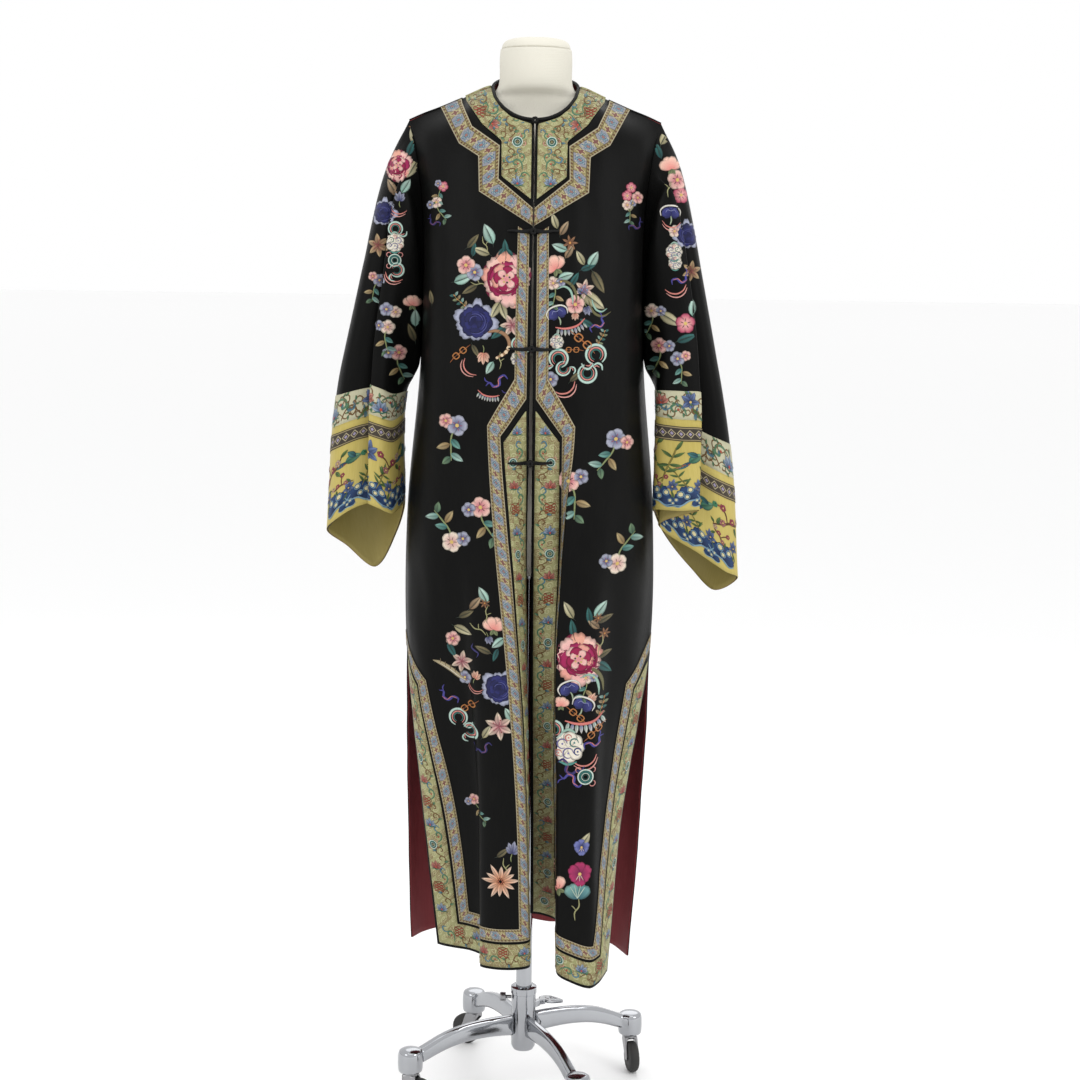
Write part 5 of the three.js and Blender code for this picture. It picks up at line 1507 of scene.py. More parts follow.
def wisp(n):
    n.stroke([(-10, 2), (-5, 5), (-1, 1), (3, -2), (8, 1)], 2.2, "3b3870", 1, 0.9)


# %% [markdown]
# The brocade and the cuffs have motifs of their own: lotus flowers on curling vines,
# coins and endless knots on the brocade, and birds, bamboo, plum and rocks on the cuffs.

# %% Motifs for the brocade and the cuffs
def lotus(n, deep="274b80", pale="bccbd8"):
    for k, (angle, reach) in enumerate(((20, 8.5), (160, 8.5), (50, 9.5), (130, 9.5), (90, 10.5))):
        n.blade(angle, reach, 5.2, deep, pale, k % 3, centre=(0, -3))
    n.stroke([(-8, -5), (-3, -4), (0, -5), (3, -4), (8, -5)], 1.1, "3f7a68", 3)
    n.ball(0, -2, 1.3, "b8503e", 3)


red_lotus = partial(lotus, deep="8e2f30", pale="d99a86")


def vine(n):
    n.stroke([(-15, -2), (-9, 4), (-3, 5), (0, 0), (-4, -3), (-6, 0)], 1.5, "80603c", 0, 0.5)
    n.stroke([(0, 0), (4, -6), (10, -5), (11, 1), (7, 3), (6, 0)], 1.5, "80603c", 0, 0.5)
    n.blade(70, 6.5, 3.2, "3f6f58", "86a878", 1, centre=(-8, 3))
    n.blade(-100, 6.5, 3.2, "34606a", "86aab4", 1, centre=(7, -5))
    n.blade(30, 5.5, 2.8, "3f6f58", "86a878", 1, centre=(11, 0))


def green_scroll(n):
    n.stroke([(-11, -3), (-6, 3), (0, 4), (3, 0), (0, -3), (-3, 0)], 2.0, "5a8566", 0, 0.6)
    n.stroke([(3, 0), (7, -4), (12, -1), (9, 3)], 1.7, "54839a", 0, 0.6)
    n.ball(-3, 0, 1.2, "a8503e", 2)


def red_knot(n):
    for shift in (-3.4, 0, 3.4):
        n.stroke([(-6, shift - 3), (6, shift + 3)], 1.1, "a5483a", 1, 0.0)
        n.stroke([(-6, shift + 3), (6, shift - 3)], 1.1, "a5483a", 2, 0.0)
    n.stroke(arc(8, 0, 360, 9, squash=0.9), 1.0, "84603c", 0, 0.0)


def bird(n):
    n.blade(20, 13, 7, "2e6a58", "74a480", 1, centre=(-6, -2))
    n.blade(200, 12, 3.4, "274a78", "3f7a68", 0, centre=(-4, -2))
    n.blade(188, 13, 2.6, "8a3f3a", "b88a5a", 0, centre=(-4, -3))
    n.blade(150, 9, 4.6, "1f4a5a", "4f8a82", 2, centre=(2, 1))
    n.ball(7.4, 3.4, 2.4, "3f7a58", 3)
    n.blade(-10, 3, 1.4, "a8402e", "c9704a", 3, centre=(9, 3.4))
    n.ball(8, 4, 0.5, "14141a", 5)


def bamboo(n):
    n.stroke([(-2, -14), (-1, -4), (1, 6), (2, 14)], 1.4, "8a7f3e", 0, 0.1)
    for x, y, angle in ((-1, -6, 150), (-1, -6, 30), (0, 0, 200), (0, 0, 10), (1, 6, 160), (1, 6, 40),
                        (2, 12, 70)):
        n.blade(angle, 10, 2.6, "3a5a34", "6f8a4a", 1, centre=(x, y))


def plum(n):
    n.stroke([(-13, -8), (-6, -3), (0, 1), (6, 2), (12, 8)], 1.8, "6a4830", 0)
    n.stroke([(-2, 0), (-5, 6), (-10, 9)], 1.3, "6a4830", 0)
    for x, y, tone in ((-6, -2, "b98078"), (2, 3, "a8485a"), (8, 5, "d9c0a4"), (-8, 9, "a8485a")):
        for k in range(5):
            n.petal(72 * k, 2.8, 2.6, "6a2f38", tone, 1 + k % 2, centre=(x, y))
        n.ball(x, y, 0.7, "d8b96c", 4)
    for x, y, angle in ((-10, -6, 80), (5, 0, -60), (11, 8, 20)):
        n.blade(angle, 7, 3, "3a5a34", "6f8a4a", 1, centre=(x, y))


def rock(n):
    for angle, reach, wide in ((90, 13, 9), (50, 12, 9), (130, 11, 9), (15, 12, 7), (165, 12, 7)):
        n.petal(angle, reach, wide, "16213f", "2c4a78", 0, notch=0.12, centre=(0, -4))
    for x, y, r in ((-3.6, 3.4, 1.7), (4.2, 2.4, 1.9), (0.4, -1.2, 1.4)):
        n.ball(x, y, r, "d9cfa0", 1)
        n.stroke(arc(r + 0.6, 0, 360, 8, x, y), 0.6, "86aabf", 2, 0.0)
    n.stroke([(-11, -4), (-7, -6.4), (0, -5), (7, -6.4), (12, -4)], 1.3, "86aabf", 2)


def iris(n):
    for angle, reach in ((90, 11), (50, 9), (130, 9), (-20, 8), (200, 8), (-90, 7)):
        n.blade(angle, reach, 5.0, "24345f", "7f93bf", abs(angle) % 3)
    n.stroke([(0, -3), (-2, -10), (-1, -16)], 1.2, "5a6f3e", 0)
    n.blade(240, 12, 3, "3a5a34", "6f8a4a", 0, centre=(0, -6))
    n.ball(0, 0, 1.1, "d8b96c", 4)

# %% [markdown]
# ## Bouquets on the silk
# Each line is a motif, its place across from the middle and up from the floor, its size
# and its turn in degrees, in millimetres. The two fronts differ, and their bouquets stand
# at the chest and above the hem.

# %% Fronts
FRONT_RIGHT = [
    (mint_leaf, 64, 1342, 1.2, 65), (stem, 70, 1328, 1.0, 70), (olive_leaf, 88, 1332, 1.0, 130),
    (cream_leaf, 74, 1318, 1.0, 20), (teal_leaf, 86, 1320, 0.8, 100), (blossom, 97, 1298, 1.2, 0),
    (blue_blossom, 84, 1288, 1.1, 20), (mint_leaf, 102, 1278, 1.1, 160), (olive_leaf, 90, 1264, 1.0, -30),
    (stem, 78, 1271, 1.0, 10), (teal_leaf, 40, 1322, 1.0, 85), (teal_leaf, 34, 1316, 0.8, 50),
    (teal_leaf, 47, 1316, 0.8, 125), (peony, 38, 1279, 3.3, 0), (cream_leaf, 52, 1236, 1.1, -60),
    (cream_leaf, 42, 1234, 1.0, -110), (half_blossom, 18, 1241, 1.3, -20), (spray, 104, 1246, 0.9, 0),
    (blue_peony, 82, 1217, 2.8, 0), (lily, 29, 1213, 1.4, 40), (teal_leaf, 47, 1203, 1.1, -40),
    (gold_curl, 46, 1185, 1.6, 0), (stem, 46, 1162, 1.0, 90), (tulip, 70, 1166, 1.3, 180),
    (olive_leaf, 82, 1176, 0.8, -120), (mint_leaf, 60, 1152, 0.8, -60), (scroll, 19, 1186, 0.9, 0),
    (vase, 19, 1165, 1.0, 0), (tie, 50, 1131, 1.2, 10), (dull_tie, 25, 1120, 1.1, -10),
    (smile, 92, 1150, 1.2, 60), (cords, 104, 1172, 1.2, 0), (fringe, 62, 1112, 1.1, 10),
    (magenta_sprig, 138, 1402, 0.7, 30), (sprig, 138, 1377, 0.8, -20), (dull_tie, 146, 1360, 0.8, 60),
    (olive_leaf, 149, 1250, 0.8, 80), (blue_sprig, 115, 1045, 1.4, 20), (pink_sprig, 66, 926, 1.4, -15),
    (sprig, 122, 914, 1.4, 160),
    (mint_leaf, 66, 817, 1.0, 60), (tan_leaf, 79, 804, 1.0, 130), (star, 64, 806, 0.7, 0),
    (stem, 62, 790, 1.1, 100), (olive_leaf, 93, 786, 1.0, 150), (cream_leaf, 98, 762, 1.1, 200),
    (blossom, 112, 747, 1.0, 10), (teal_leaf, 114, 730, 1.0, 240), (stem, 74, 766, 1.2, 30),
    (half_blossom, 50, 768, 1.5, 0), (violet_tulip, 57, 752, 0.9, 160), (mint_leaf, 43, 749, 0.9, -40),
    (olive_leaf, 65, 736, 1.0, 20), (teal_leaf, 47, 731, 0.8, -70), (wisp, 80, 735, 1.0, 80),
    (lily, 98, 713, 1.4, 15), (feather, 116, 697, 1.7, 15), (tulip, 76, 696, 1.0, 20),
    (blue_blossom, 93, 689, 0.9, 0), (smile, 77, 676, 0.9, 20), (blue_peony, 41, 680, 2.5, 20),
    (tie, 118, 656, 1.2, 60), (cords, 87, 646, 1.3, 0), (scroll, 103, 625, 1.2, 0),
    (scroll, 84, 607, 1.0, 90), (lily, 41, 623, 1.7, 0), (mint_leaf, 26, 640, 0.9, 60),
    (dull_tie, 63, 587, 1.0, 0), (cream_leaf, 60, 612, 0.9, 120),
    (pink_sprig, 72, 486, 0.8, -30), (daisy, 36, 386, 2.0, 0),
    (stem, 30, 408, 1.2, 80), (violet_tulip, 18, 437, 1.5, 10), (olive_leaf, 34, 430, 0.9, 140)]
FRONT_LEFT = [
    (cream_leaf, 31, 1362, 0.9, 110), (tan_leaf, 44, 1352, 0.9, 60), (star, 53, 1332, 1.0, 0),
    (mint_leaf, 39, 1325, 0.9, 160), (tan_leaf, 52, 1319, 0.9, 60), (cream_leaf, 69, 1310, 0.9, 120),
    (mint_leaf, 87, 1308, 1.0, 60), (teal_leaf, 79, 1297, 0.9, 20), (olive_leaf, 94, 1278, 1.4, -60),
    (half_blossom, 33, 1294, 1.6, 30), (mint_leaf, 47, 1284, 0.9, 20), (teal_leaf, 60, 1279, 0.9, 60),
    (arcs, 47, 1262, 1.4, 0), (sprig, 32, 1260, 0.9, 10), (violet_tulip, 73, 1264, 1.2, -20),
    (lily, 75, 1266, 1.2, 60), (cream_leaf, 86, 1251, 1.6, -35), (blossom, 62, 1244, 1.2, 0),
    (violet_tulip, 80, 1236, 1.0, 200), (fungus, 36, 1231, 1.3, 20), (tulip, 62, 1227, 0.8, 180),
    (fringe, 56, 1213, 1.5, 15), (cords, 73, 1192, 1.5, 0), (cords, 58, 1179, 1.0, 40),
    (teal_leaf, 80, 1217, 0.9, 150), (tie, 96, 1216, 1.1, 80), (scroll, 93, 1172, 1.3, 20),
    (scroll, 81, 1145, 1.2, 180), (scroll, 39, 1166, 1.2, 0), (scroll, 46, 1152, 0.9, 140),
    (vase, 36, 1190, 0.9, 0), (smile, 50, 1122, 1.4, 30), (blue_blossom, 28, 1136, 1.0, 0),
    (arcs, 98, 1240, 1.2, 190), (spray, 100, 1196, 0.8, 20), (olive_leaf, 64, 1140, 0.9, 40),
    (magenta_blossom, 142, 1414, 0.7, 0), (blossom, 152, 1400, 0.8, 0),
    (magenta_blossom, 136, 1402, 0.7, 0), (cream_leaf, 142, 1388, 0.8, 70),
    (dull_tie, 150, 1359, 0.9, 60), (sprig, 140, 1378, 0.7, 20),
    (blue_sprig, 117, 1028, 1.4, -20), (pink_sprig, 64, 966, 1.5, 20), (sprig, 138, 884, 1.4, 160),
    (cream_leaf, 60, 798, 1.1, 120), (mint_leaf, 106, 798, 1.1, 50), (teal_leaf, 90, 789, 1.0, 100),
    (olive_leaf, 113, 783, 1.0, 20), (tan_leaf, 97, 777, 0.9, 140), (star, 103, 786, 0.7, 0),
    (star, 113, 761, 0.8, 0), (stem, 108, 744, 1.4, 80), (teal_leaf, 66, 770, 1.1, 100),
    (peony, 75, 726, 3.3, 10), (teal_leaf, 112, 712, 1.2, -40), (olive_leaf, 112, 730, 1.0, 20),
    (arcs, 92, 694, 1.7, 0), (sprig, 86, 684, 0.9, 0), (fungus, 62, 682, 1.4, 20),
    (fungus, 83, 658, 1.4, -20), (half_blossom, 50, 656, 1.1, 0), (tulip, 96, 668, 1.0, -30),
    (cords, 73, 643, 1.3, 0), (fringe, 86, 633, 2.0, 8), (vase, 62, 594, 2.1, 0),
    (cords, 100, 616, 1.3, 80), (tie, 100, 600, 1.2, 60), (dull_tie, 64, 562, 1.4, 0),
    (coin, 88, 549, 1.0, 0), (tie, 67, 545, 1.3, 190), (smile, 88, 572, 1.5, 20),
    (scroll, 40, 620, 1.2, 0), (blue_blossom, 38, 586, 1.0, 0), (spray, 110, 652, 1.0, 30),
    (cream_leaf, 88, 450, 1.1, 60),
    (blue_pansy, 84, 442, 1.2, 0), (pansy, 82, 401, 1.8, 0), (heart_leaf, 79, 362, 2.0, 0),
    (half_blossom, 50, 376, 1.6, 40), (stem, 79, 346, 1.4, 80)]
BACK = [
    (peony, 62, 1300, 3.0, 0), (teal_leaf, 96, 1330, 1.3, 50), (mint_leaf, 30, 1332, 1.2, 120),
    (olive_leaf, 100, 1286, 1.2, -20), (blossom, 100, 1308, 1.1, 0), (cream_leaf, 34, 1262, 1.1, 230),
    (blue_peony, 64, 1226, 2.6, 10), (lily, 100, 1238, 1.4, 20), (stem, 30, 1220, 1.2, 80),
    (gold_curl, 96, 1196, 1.4, 0), (fringe, 60, 1186, 1.5, 0), (scroll, 36, 1182, 1.1, 0),
    (vase, 78, 1160, 1.4, 0), (cords, 44, 1150, 1.3, 0), (tie, 92, 1130, 1.2, 0),
    (magenta_sprig, 138, 1392, 0.9, 20), (blue_sprig, 100, 1040, 1.4, 20), (pink_sprig, 46, 950, 1.4, -20),
    (sprig, 130, 900, 1.4, 20), (peony, 70, 740, 3.1, 20), (teal_leaf, 108, 774, 1.3, 40),
    (mint_leaf, 34, 776, 1.2, 130), (olive_leaf, 110, 716, 1.2, -30), (fungus, 46, 690, 1.4, 10),
    (blue_peony, 98, 672, 2.4, 0), (arcs, 60, 662, 1.5, 0), (fringe, 70, 632, 1.8, 0),
    (vase, 66, 592, 1.9, 0), (cords, 104, 612, 1.3, 0), (coin, 96, 560, 1.1, 0), (tie, 58, 556, 1.3, 0),
    (scroll, 36, 622, 1.2, 0), (pansy, 84, 404, 1.7, 0), (heart_leaf, 82, 366, 1.8, 0),
    (daisy, 36, 390, 1.9, 0), (violet_tulip, 30, 440, 1.4, 0), (blue_sprig, 130, 470, 1.2, 0),
    (pink_sprig, 160, 620, 1.2, 0), (blossom, 140, 392, 1.2, 0)]

# %% [markdown]
# The sleeves carry one bouquet down their fronts, and another down their backs.

# %% Sleeves
SLEEVE_RIGHT = [
    (star, 177, 1502, 1.0, 0), (cream_leaf, 181, 1486, 1.0, 70), (teal_leaf, 184, 1470, 1.1, 110),
    (cream_leaf, 180, 1440, 1.2, -60), (peony, 202, 1443, 2.0, 0), (tan_leaf, 210, 1410, 1.1, 60),
    (violet_tulip, 198, 1396, 1.1, 0), (smile, 201, 1376, 1.0, 20), (blue_peony, 223, 1374, 1.9, 0),
    (mint_leaf, 190, 1412, 0.9, 120), (gold_lily, 231, 1326, 1.4, 0), (vase, 205, 1330, 1.2, 0),
    (scroll, 204, 1350, 0.9, 0), (coin, 205, 1304, 0.8, 0), (scroll, 202, 1290, 0.9, 90),
    (smile, 208, 1278, 1.1, 30), (blue_blossom, 217, 1232, 0.9, 0), (cream_blossom, 204, 1228, 0.8, 0),
    (half_blossom, 180, 1238, 1.2, 0), (mint_leaf, 176, 1218, 1.0, 90), (olive_leaf, 181, 1196, 1.1, 70),
    (sprig, 218, 1190, 1.0, 10), (pink_sprig, 200, 1150, 1.1, 0), (blue_sprig, 236, 1262, 0.9, 30)]
SLEEVE_LEFT = [
    (cream_leaf, 194, 1492, 1.2, 60), (teal_leaf, 184, 1470, 1.0, 110), (half_blossom, 203, 1444, 1.5, 10),
    (blossom, 212, 1428, 1.3, 0), (magenta_blossom, 218, 1406, 1.1, 0), (stem, 200, 1416, 1.2, 80),
    (fungus, 202, 1379, 1.3, 0), (smile, 203, 1362, 1.1, 0), (cream_blossom, 208, 1352, 0.8, 0),
    (blue_peony, 229, 1347, 2.0, 0), (vase, 208, 1322, 1.1, 0), (vase, 210, 1306, 0.9, 0),
    (tie, 219, 1282, 1.1, 60), (smile, 213, 1266, 1.3, 20), (gold_lily, 236, 1294, 1.3, 0),
    (violet_tulip, 156, 1250, 1.0, 0), (teal_leaf, 158, 1214, 1.0, 80), (sprig, 178, 1219, 1.0, 0),
    (magenta_blossom, 227, 1217, 1.3, 0), (cream_leaf, 203, 1224, 1.4, -30),
    (teal_leaf, 228, 1195, 1.2, 20),
    (pink_sprig, 190, 1166, 1.1, 0), (blue_sprig, 222, 1150, 1.0, 20), (mint_leaf, 238, 1240, 1.0, 90)]
SLEEVE_BACK = [
    (cream_leaf, 184, 1486, 1.1, 70), (teal_leaf, 196, 1462, 1.1, 110), (peony, 202, 1432, 2.0, 0),
    (olive_leaf, 222, 1402, 1.1, 60), (blue_peony, 212, 1366, 1.9, 0), (vase, 208, 1322, 1.2, 0),
    (gold_lily, 230, 1296, 1.3, 0), (scroll, 206, 1290, 1.0, 0), (smile, 212, 1262, 1.2, 20),
    (blossom, 204, 1226, 1.2, 0), (mint_leaf, 222, 1206, 1.1, 60), (pink_sprig, 206, 1160, 1.1, 0)]

# %% Embroider
GROW = 1.22          # all motifs on the silk are this much larger than their tables say
SILK_LIFT = 0.1
MOST_STRETCH = 4.5   # stitches that a fold would stretch more than this are left out


def seen_place(part, side, view):
    """Finds the cloth straight behind a place, seen from the front (-1) or the back (1)."""
    tree = grid_tree(part.grid, part.closed)

    def place(x, z):
        found, normal, _, _ = tree.ray_cast((x * side, 700 * view, z), (0, -view, 0))
        if found is None:
            return None
        normal = np.array(normal)
        return np.array(found), normal if normal[1] * view > 0 else -normal
    return place


def longest_side(corners):
    return max(math.dist(corners[k], corners[k - 1]) for k in range(4))


embroidered = []


def embroider(name, needle, place, lift):
    """Lays the needle's flat motifs on the cloth, and leaves out what misses it."""
    found = [place(x, y) for x, y in needle.points]
    spots = [None if f is None else f[0] + f[1] * (lift + h) for f, h in zip(found, needle.heights)]
    kept, used = [], {}
    for face in needle.faces:
        corners = [spots[k] for k in face]
        if any(corner is None for corner in corners):
            continue
        if longest_side(corners) > MOST_STRETCH * longest_side([needle.points[k] for k in face]) + 0.5:
            continue
        kept.append([used.setdefault(k, len(used)) for k in face])
    piece = link_mesh(name, [spots[k] for k in used], kept, [needle.flats[k] for k in used], [thread])
    layer = piece.data.color_attributes.new("thread", "FLOAT_COLOR", "POINT")
    colours = np.array([(*needle.colours[k], 1.0) for k in used])
    layer.data.foreach_set("color", colours.ravel())
    outward_faces(piece, np.array([found[k][1] for k in used]))
    embroidered.append(piece)


def stitch(motifs):
    needle = Needle()
    for motif, x, z, size, turn in motifs:
        motif(needle.at(x, z, size * GROW, turn))
    return needle


FRONTS = {"right": FRONT_RIGHT, "left": FRONT_LEFT}
SLEEVES = {"right": SLEEVE_RIGHT, "left": SLEEVE_LEFT}
for name, side in SIDES.items():
    for label, part, motifs, view in (
            ("bouquets_front", "front", FRONTS[name], -1), ("bouquets_back", "back", BACK, 1),
            ("bouquet_sleeve", "sleeve", SLEEVES[name], -1),
            ("back_bouquet_sleeve", "sleeve", SLEEVE_BACK, 1)):
        place = seen_place(cloth[f"{part}_{name}"], side, view)
        embroider(f"{label}_{name}", stitch(motifs), place, SILK_LIFT)

# %% [markdown]
# The brocade's flowers follow each band in turn, and the cuffs' birds, plum and bamboo
# stand over a row of rocks all round the hem.

# %% Brocade and cuff embroidery
BORDER_MOTIFS = [lotus, vine, red_knot, green_scroll, red_lotus, vine, coin, green_scroll]
# Where the yoke's motifs stand: across from the middle, and up from the floor.
YOKE_SPOTS = {
    "front": [(24, 1418), (27, 1446), (25, 1476), (34, 1500), (60, 1500), (58, 1524), (82, 1520),
              (86, 1543)],
    "back": [(18, 1488), (18, 1520), (20, 1554), (50, 1500), (50, 1536), (76, 1516), (82, 1540)]}
BORDER_PITCH = 17     # from one motif to the next along the border
BORDER_MIDDLE = 22    # from the panel's edge to the middle of the border
BORDER_SWAY = 5.5     # motifs stand this far to either side of the middle, by turns
TRIM_TOP = 1.0        # height of the trims' upper face over the silk
YOKE_TOP = TRIM_TOP + YOKE_LIFT - TRIM_LIFT


def cut_to(place, low, out):
    """The same place finder, but only inside the outline between the two sides."""
    corners = [*low, *out[::-1]]

    def inside(x, y):
        crossed = False
        for (ax, ay), (bx, by) in zip(corners, corners[1:] + corners[:1]):
            if (ay > y) != (by > y) and x < ax + (y - ay) * (bx - ax) / (by - ay):
                crossed = not crossed
        return crossed

    return lambda x, y: place(x, y) if inside(x, y) else None


def border_needle(width, face):
    needle = Needle()
    spots = [(width - BORDER_MIDDLE, b, 90) for b in np.arange(62, 425, BORDER_PITCH)]
    spots += [(a, BORDER_MIDDLE, 0) for a in np.arange(BORDER_MIDDLE, width - 30, BORDER_PITCH)]
    spots.append((width - BORDER_MIDDLE - 3, BORDER_MIDDLE + 6, 45))
    if face == "front":
        spots += [(BORDER_MIDDLE, b, 90) for b in np.arange(50, RUYI_SHOULDER, BORDER_PITCH)]
        spots.append((14, RUYI_SHOULDER + 16, 90))
    for k, (a, b, turn) in enumerate(spots):
        motif = BORDER_MOTIFS[k % len(BORDER_MOTIFS)]
        sway = BORDER_SWAY * (-1) ** k
        a, b = (a + sway, b) if turn == 90 else (a, b + sway)
        motif(needle.at(a, b, 0.7 if motif is coin else 1.2, turn if motif in (vine, green_scroll) else 0))
    return needle


for panel, (chart, seen) in charts.items():
    face = panel.split("_")[0]
    outline = border_outline(WIDTHS[face], face)
    embroider(f"brocade_flowers_{panel}", border_needle(WIDTHS[face], face), cut_to(chart, *outline),
              TRIM_TOP)
    needle = Needle()
    for k, (x, z) in enumerate(YOKE_SPOTS[face]):
        BORDER_MOTIFS[(k * 3) % 8](needle.at(x, z, 1.25 if k % 8 != 2 else 0.8, 30 * k))
        vine(needle.at(x + 9, z - 10, 1.1, 50 * k))
        green_scroll(needle.at(x - 8, z + 10, 0.9, 70 * k))
    embroider(f"yoke_flowers_{panel}", needle, cut_to(seen, *YOKE[face]), YOKE_TOP)


def cuff_place(part):
    """Finds a cuff's place from the distance round it and the share of the way down it."""
    rows = slice(3 * PER_LEVEL, 4 * PER_LEVEL + 1)
    grid = part.grid[rows]
    around = run_lengths(grid, 1)[PER_LEVEL // 2]
    down = np.mean(run_lengths(grid, 0), axis=1)
    chart = np.zeros(part.grid.shape[:2] + (2,))
    chart[rows, :, 0] = around
    chart[rows, :, 1] = -down[:, None]
    return Chart(part, chart, rows), around[-1], down[-1]


FLORAL = [lotus, green_scroll, vine, iris, green_scroll, red_lotus]
UPPER = [plum, bird, bamboo, iris, plum, bird, bamboo]
FLORAL_PITCH = 24     # from one motif to the next round the cream band
SATIN_PITCH = 40      # and round the yellow cuff
for name in SIDES:
    flip = 1 if name == "right" else -1
    place, around, down = cuff_place(cloth[f"sleeve_{name}"])
    needle = Needle()
    for k in range(int(around / FLORAL_PITCH) - 1):
        a = 16 + FLORAL_PITCH * k
        vine(needle.at(a + 10, -down * 0.07, 1.3, 30 * (-1) ** k))
        vine(needle.at(a, -down * 0.18, 1.2, 160 * (-1) ** k))
        FLORAL[k % 6](needle.at(a, -down * (0.09 if k % 2 else 0.15), 1.9, 15 * (-1) ** k))
    for k in range(int((around - 30) / SATIN_PITCH)):
        a = 22 + SATIN_PITCH * k
        UPPER[k % 7](needle.at(a, -down * (0.56 if k % 2 else 0.62), 2.1, 12 * (-1) ** k, flip))
        (bamboo if k % 2 else plum)(needle.at(a + 20, -down * 0.75, 1.4, 30 * (-1) ** k, -flip))
        iris(needle.at(a - 6, -down * 0.80, 1.2, 10 * (-1) ** k))
        rock(needle.at(a + 12, -down * 0.87, 2.0, 20 * (-1) ** k))
        rock(needle.at(a + 32, -down * 0.93, 1.2, 0))
    embroider(f"cuff_flowers_sleeve_{name}", needle, place, TRIM_TOP + 0.1)

# %% Shoulder seams
YOKE_REACH = 106     # the yoke covers the shoulder seam from the neck to here
for name in SIDES:
    edge = cloth[f"front_{name}"].grid[-1, NECK_LINE * PER_LINE:]
    near = np.abs(edge[:, 0]) < YOKE_REACH
    for label, line, material, radius in (("brocade", edge[near], brocade, 2.4),
                                          ("silk", edge[~near], silk, 1.5)):
        seam = tube(f"{label}_shoulder_seam_front_{name}", line, [radius] * len(line), material, sides=8)
        embroidered.append(seam)
print("embroidered pieces:", len(embroidered), "faces:", sum(len(p.data.polygons) for p in embroidered))

# %% [markdown]
# ## The dress form
# A smooth body under white jersey, with a flat cap on its neck.

# %% Form
# height, half the width, depth in front and depth behind, from the bottom up
FORM_SECTIONS = [
    [838, 140, 82, 94], [852, 150, 90, 104], [890, 158, 97, 110], [930, 160, 103, 113],
    [1000, 152, 103, 106], [1060, 136, 100, 94], [1110, 130, 99, 90], [1200, 143, 108, 93],
    [1290, 154, 118, 97], [1380, 158, 102, 92], [1430, 162, 87, 80], [1470, 164, 71, 66],
    [1498, 162, 54, 50], [1520, 148, 40, 42], [1538, 108, 34, 42], [1549, 69, 32, 44],
    [1562, 56, 50, 53], [1602, 54, 54, 54], [1616, 53, 53, 53],
]
FORM_SIDES = 96


def jersey_shader():
    shader = Shader("jersey", 0.8, sheen=0.05)
    weave = shader.group(weave_tree, Flat=shader.flat()[0], Pitch=1.4)
    worn = shader.worn()
    tone = ((worn - 0.5) * 1.5 + 0.5).clamp()
    colour = shader.paint(shade("dad7ca"), (tone, shade("cdc9bc")))
    return shader.finish(colour, shader.number(weave, "Height"), 0.0002, worn * 0.2 + 0.68)


jersey = jersey_shader()
turns = np.linspace(0, 2 * math.pi, FORM_SIDES, endpoint=False)
outline = []
for z, half, front_deep, back_deep in FORM_SECTIONS:
    depth = np.where(np.sin(turns) < 0, front_deep, back_deep)
    outline.append(np.stack([half * np.cos(turns), depth * np.sin(turns), np.full(FORM_SIDES, z)], axis=1))
levels = np.linspace(0, len(outline) - 1, 4 * len(outline))
torso = sew("form_torso", smooth(outline, levels), jersey, closed=True)
close_up(torso.data)
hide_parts("torso")

# %% [markdown]
# ## Metal and rubber
# The stand keeps its machined shapes, rounded a little at the edges, as castings are
# after polishing.

# %% Metals
def metal_shader(name, colour, other, low, high, depth):
    """low and high are its roughness where it is polished and where it is worn."""
    shader = Shader(name, low, metallic=1.0)
    worn = shader.worn()
    grain = shader.noise(240.0, 3.0)
    rough = ((worn - 0.45) * (high - low) * 2.2 + low + grain * 0.03).most(low)
    tone = ((worn - 0.5) * 1.6 + 0.4).clamp()
    return shader.finish(shader.paint(colour, (tone, other)), grain * depth, 0.00006, rough)


def rubber_shader():
    shader = Shader("rubber_tyre", 0.75)
    worn = shader.worn()
    speck = shader.noise(90.0, 5.0)
    colour = shader.paint(shade("1a1a1a"), ((speck * worn * 1.3).clamp(), shade("3b3937")))
    return shader.finish(colour, speck, 0.0004, worn * 0.2 + 0.6)


metals = {
    "chrome": metal_shader("chrome_polished", (0.42, 0.43, 0.45), (0.33, 0.34, 0.36), 0.1, 0.24, 0.3),
    "steel": metal_shader("steel_plated", (0.34, 0.34, 0.35), (0.24, 0.24, 0.25), 0.28, 0.45, 0.7),
    "rubber": rubber_shader(),
    "linen": jersey}

# %% Rounded copies
SLIDING = ("hub", "pole")   # these two slide in each other, so they keep their machined size
SHARP = math.radians(40)    # edges that bend more than this stay crisp


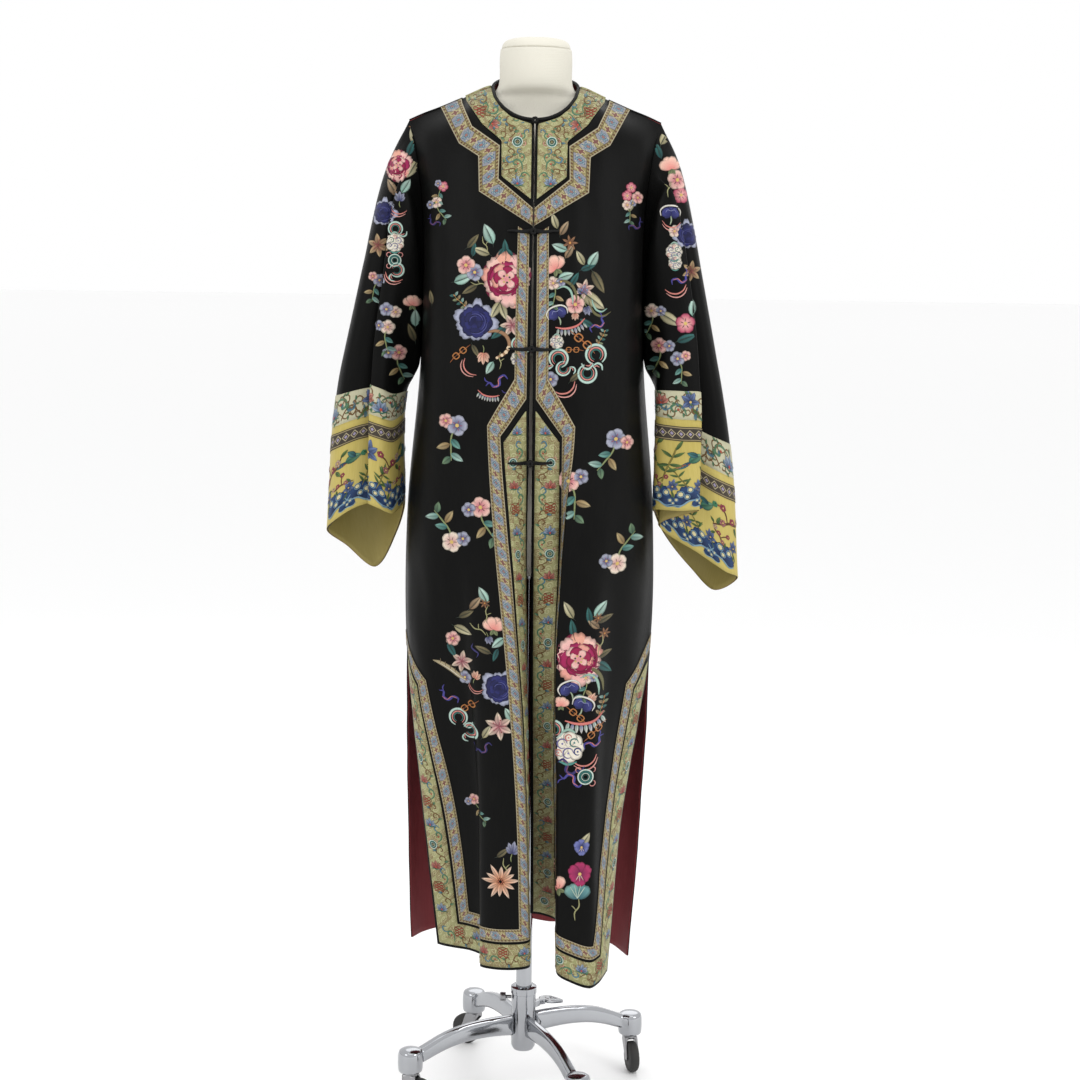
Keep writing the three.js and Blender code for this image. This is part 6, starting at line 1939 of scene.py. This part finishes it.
def round_copy(node, material, body):
    """A copy of a hard node, rounded a little, that stands for it."""
    source = frame["nodes"][node]
    mesh = source.data.copy()
    mesh.name = f"rounded_{node}"
    work = bmesh.new()
    work.from_mesh(mesh)
    bmesh.ops.remove_doubles(work, verts=work.verts, dist=0.00002)
    bmesh.ops.dissolve_limit(work, angle_limit=math.radians(1.0), verts=work.verts, edges=work.edges)
    layer = work.edges.layers.float.get("crease_edge") or work.edges.layers.float.new("crease_edge")
    for edge in work.edges:
        if len(edge.link_faces) == 2 and edge.calc_face_angle(0) > SHARP:
            edge[layer] = 0.85
    work.to_mesh(mesh)
    work.free()
    mesh.materials.clear()
    mesh.materials.append(material)
    mesh.polygons.foreach_set("use_smooth", [True] * len(mesh.polygons))
    if "custom_normal" in mesh.attributes:
        mesh.attributes.remove(mesh.attributes["custom_normal"])
    copy = add_object(f"rounded_{node}", mesh)
    copy.matrix_world = source.matrix_world.copy()
    if node in SLIDING:
        mesh.set_sharp_from_angle(angle=SHARP)
    else:
        subdivide = copy.modifiers.new("round", "SUBSURF")
        subdivide.levels = subdivide.render_levels = 2
    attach(copy, body)
    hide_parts(node)


slots = {entry["node"]: entry["material_slot"] for entry in frame["record"]["subparts"]}
bodies = {node: body for body, nodes in frame["record"]["behaviour"]["bodies"].items() for node in nodes}
hard = [n for n, s in slots.items() if s in metals and n != "torso"]
for node in hard:
    round_copy(node, metals[slots[node]], bodies[node])
print("hard pieces", len(hard))

# %% [markdown]
# ## Cloth facts
# Each panel's kind, and the trims and embroidered pieces sewn on it, are gathered here, and nothing more
# is done with them.

for name in cloth:
    kind = name.split("_")[0]
    sewn_on = pieces[f"trims_{name}"] + [p for p in embroidered if p.name.endswith(name)]

# %% Floor
floor_mesh = bpy.data.meshes.new("floor")
floor_mesh.from_pydata([(-60, -20, 0), (60, -20, 0), (60, 100, 0), (-60, 100, 0)], [], [(0, 1, 2, 3)])
floor = add_object("floor", floor_mesh)
floor_shader = Shader("floor", 0.55)
soft = floor_shader.number(floor_shader.node("ShaderNodeTexNoise", Scale=3.0, Detail=4.0))
floor_colour = floor_shader.paint((0.97, 0.97, 0.97), (soft, (0.955, 0.955, 0.955)))
floor_mesh.materials.append(floor_shader.finish(floor_colour, soft))
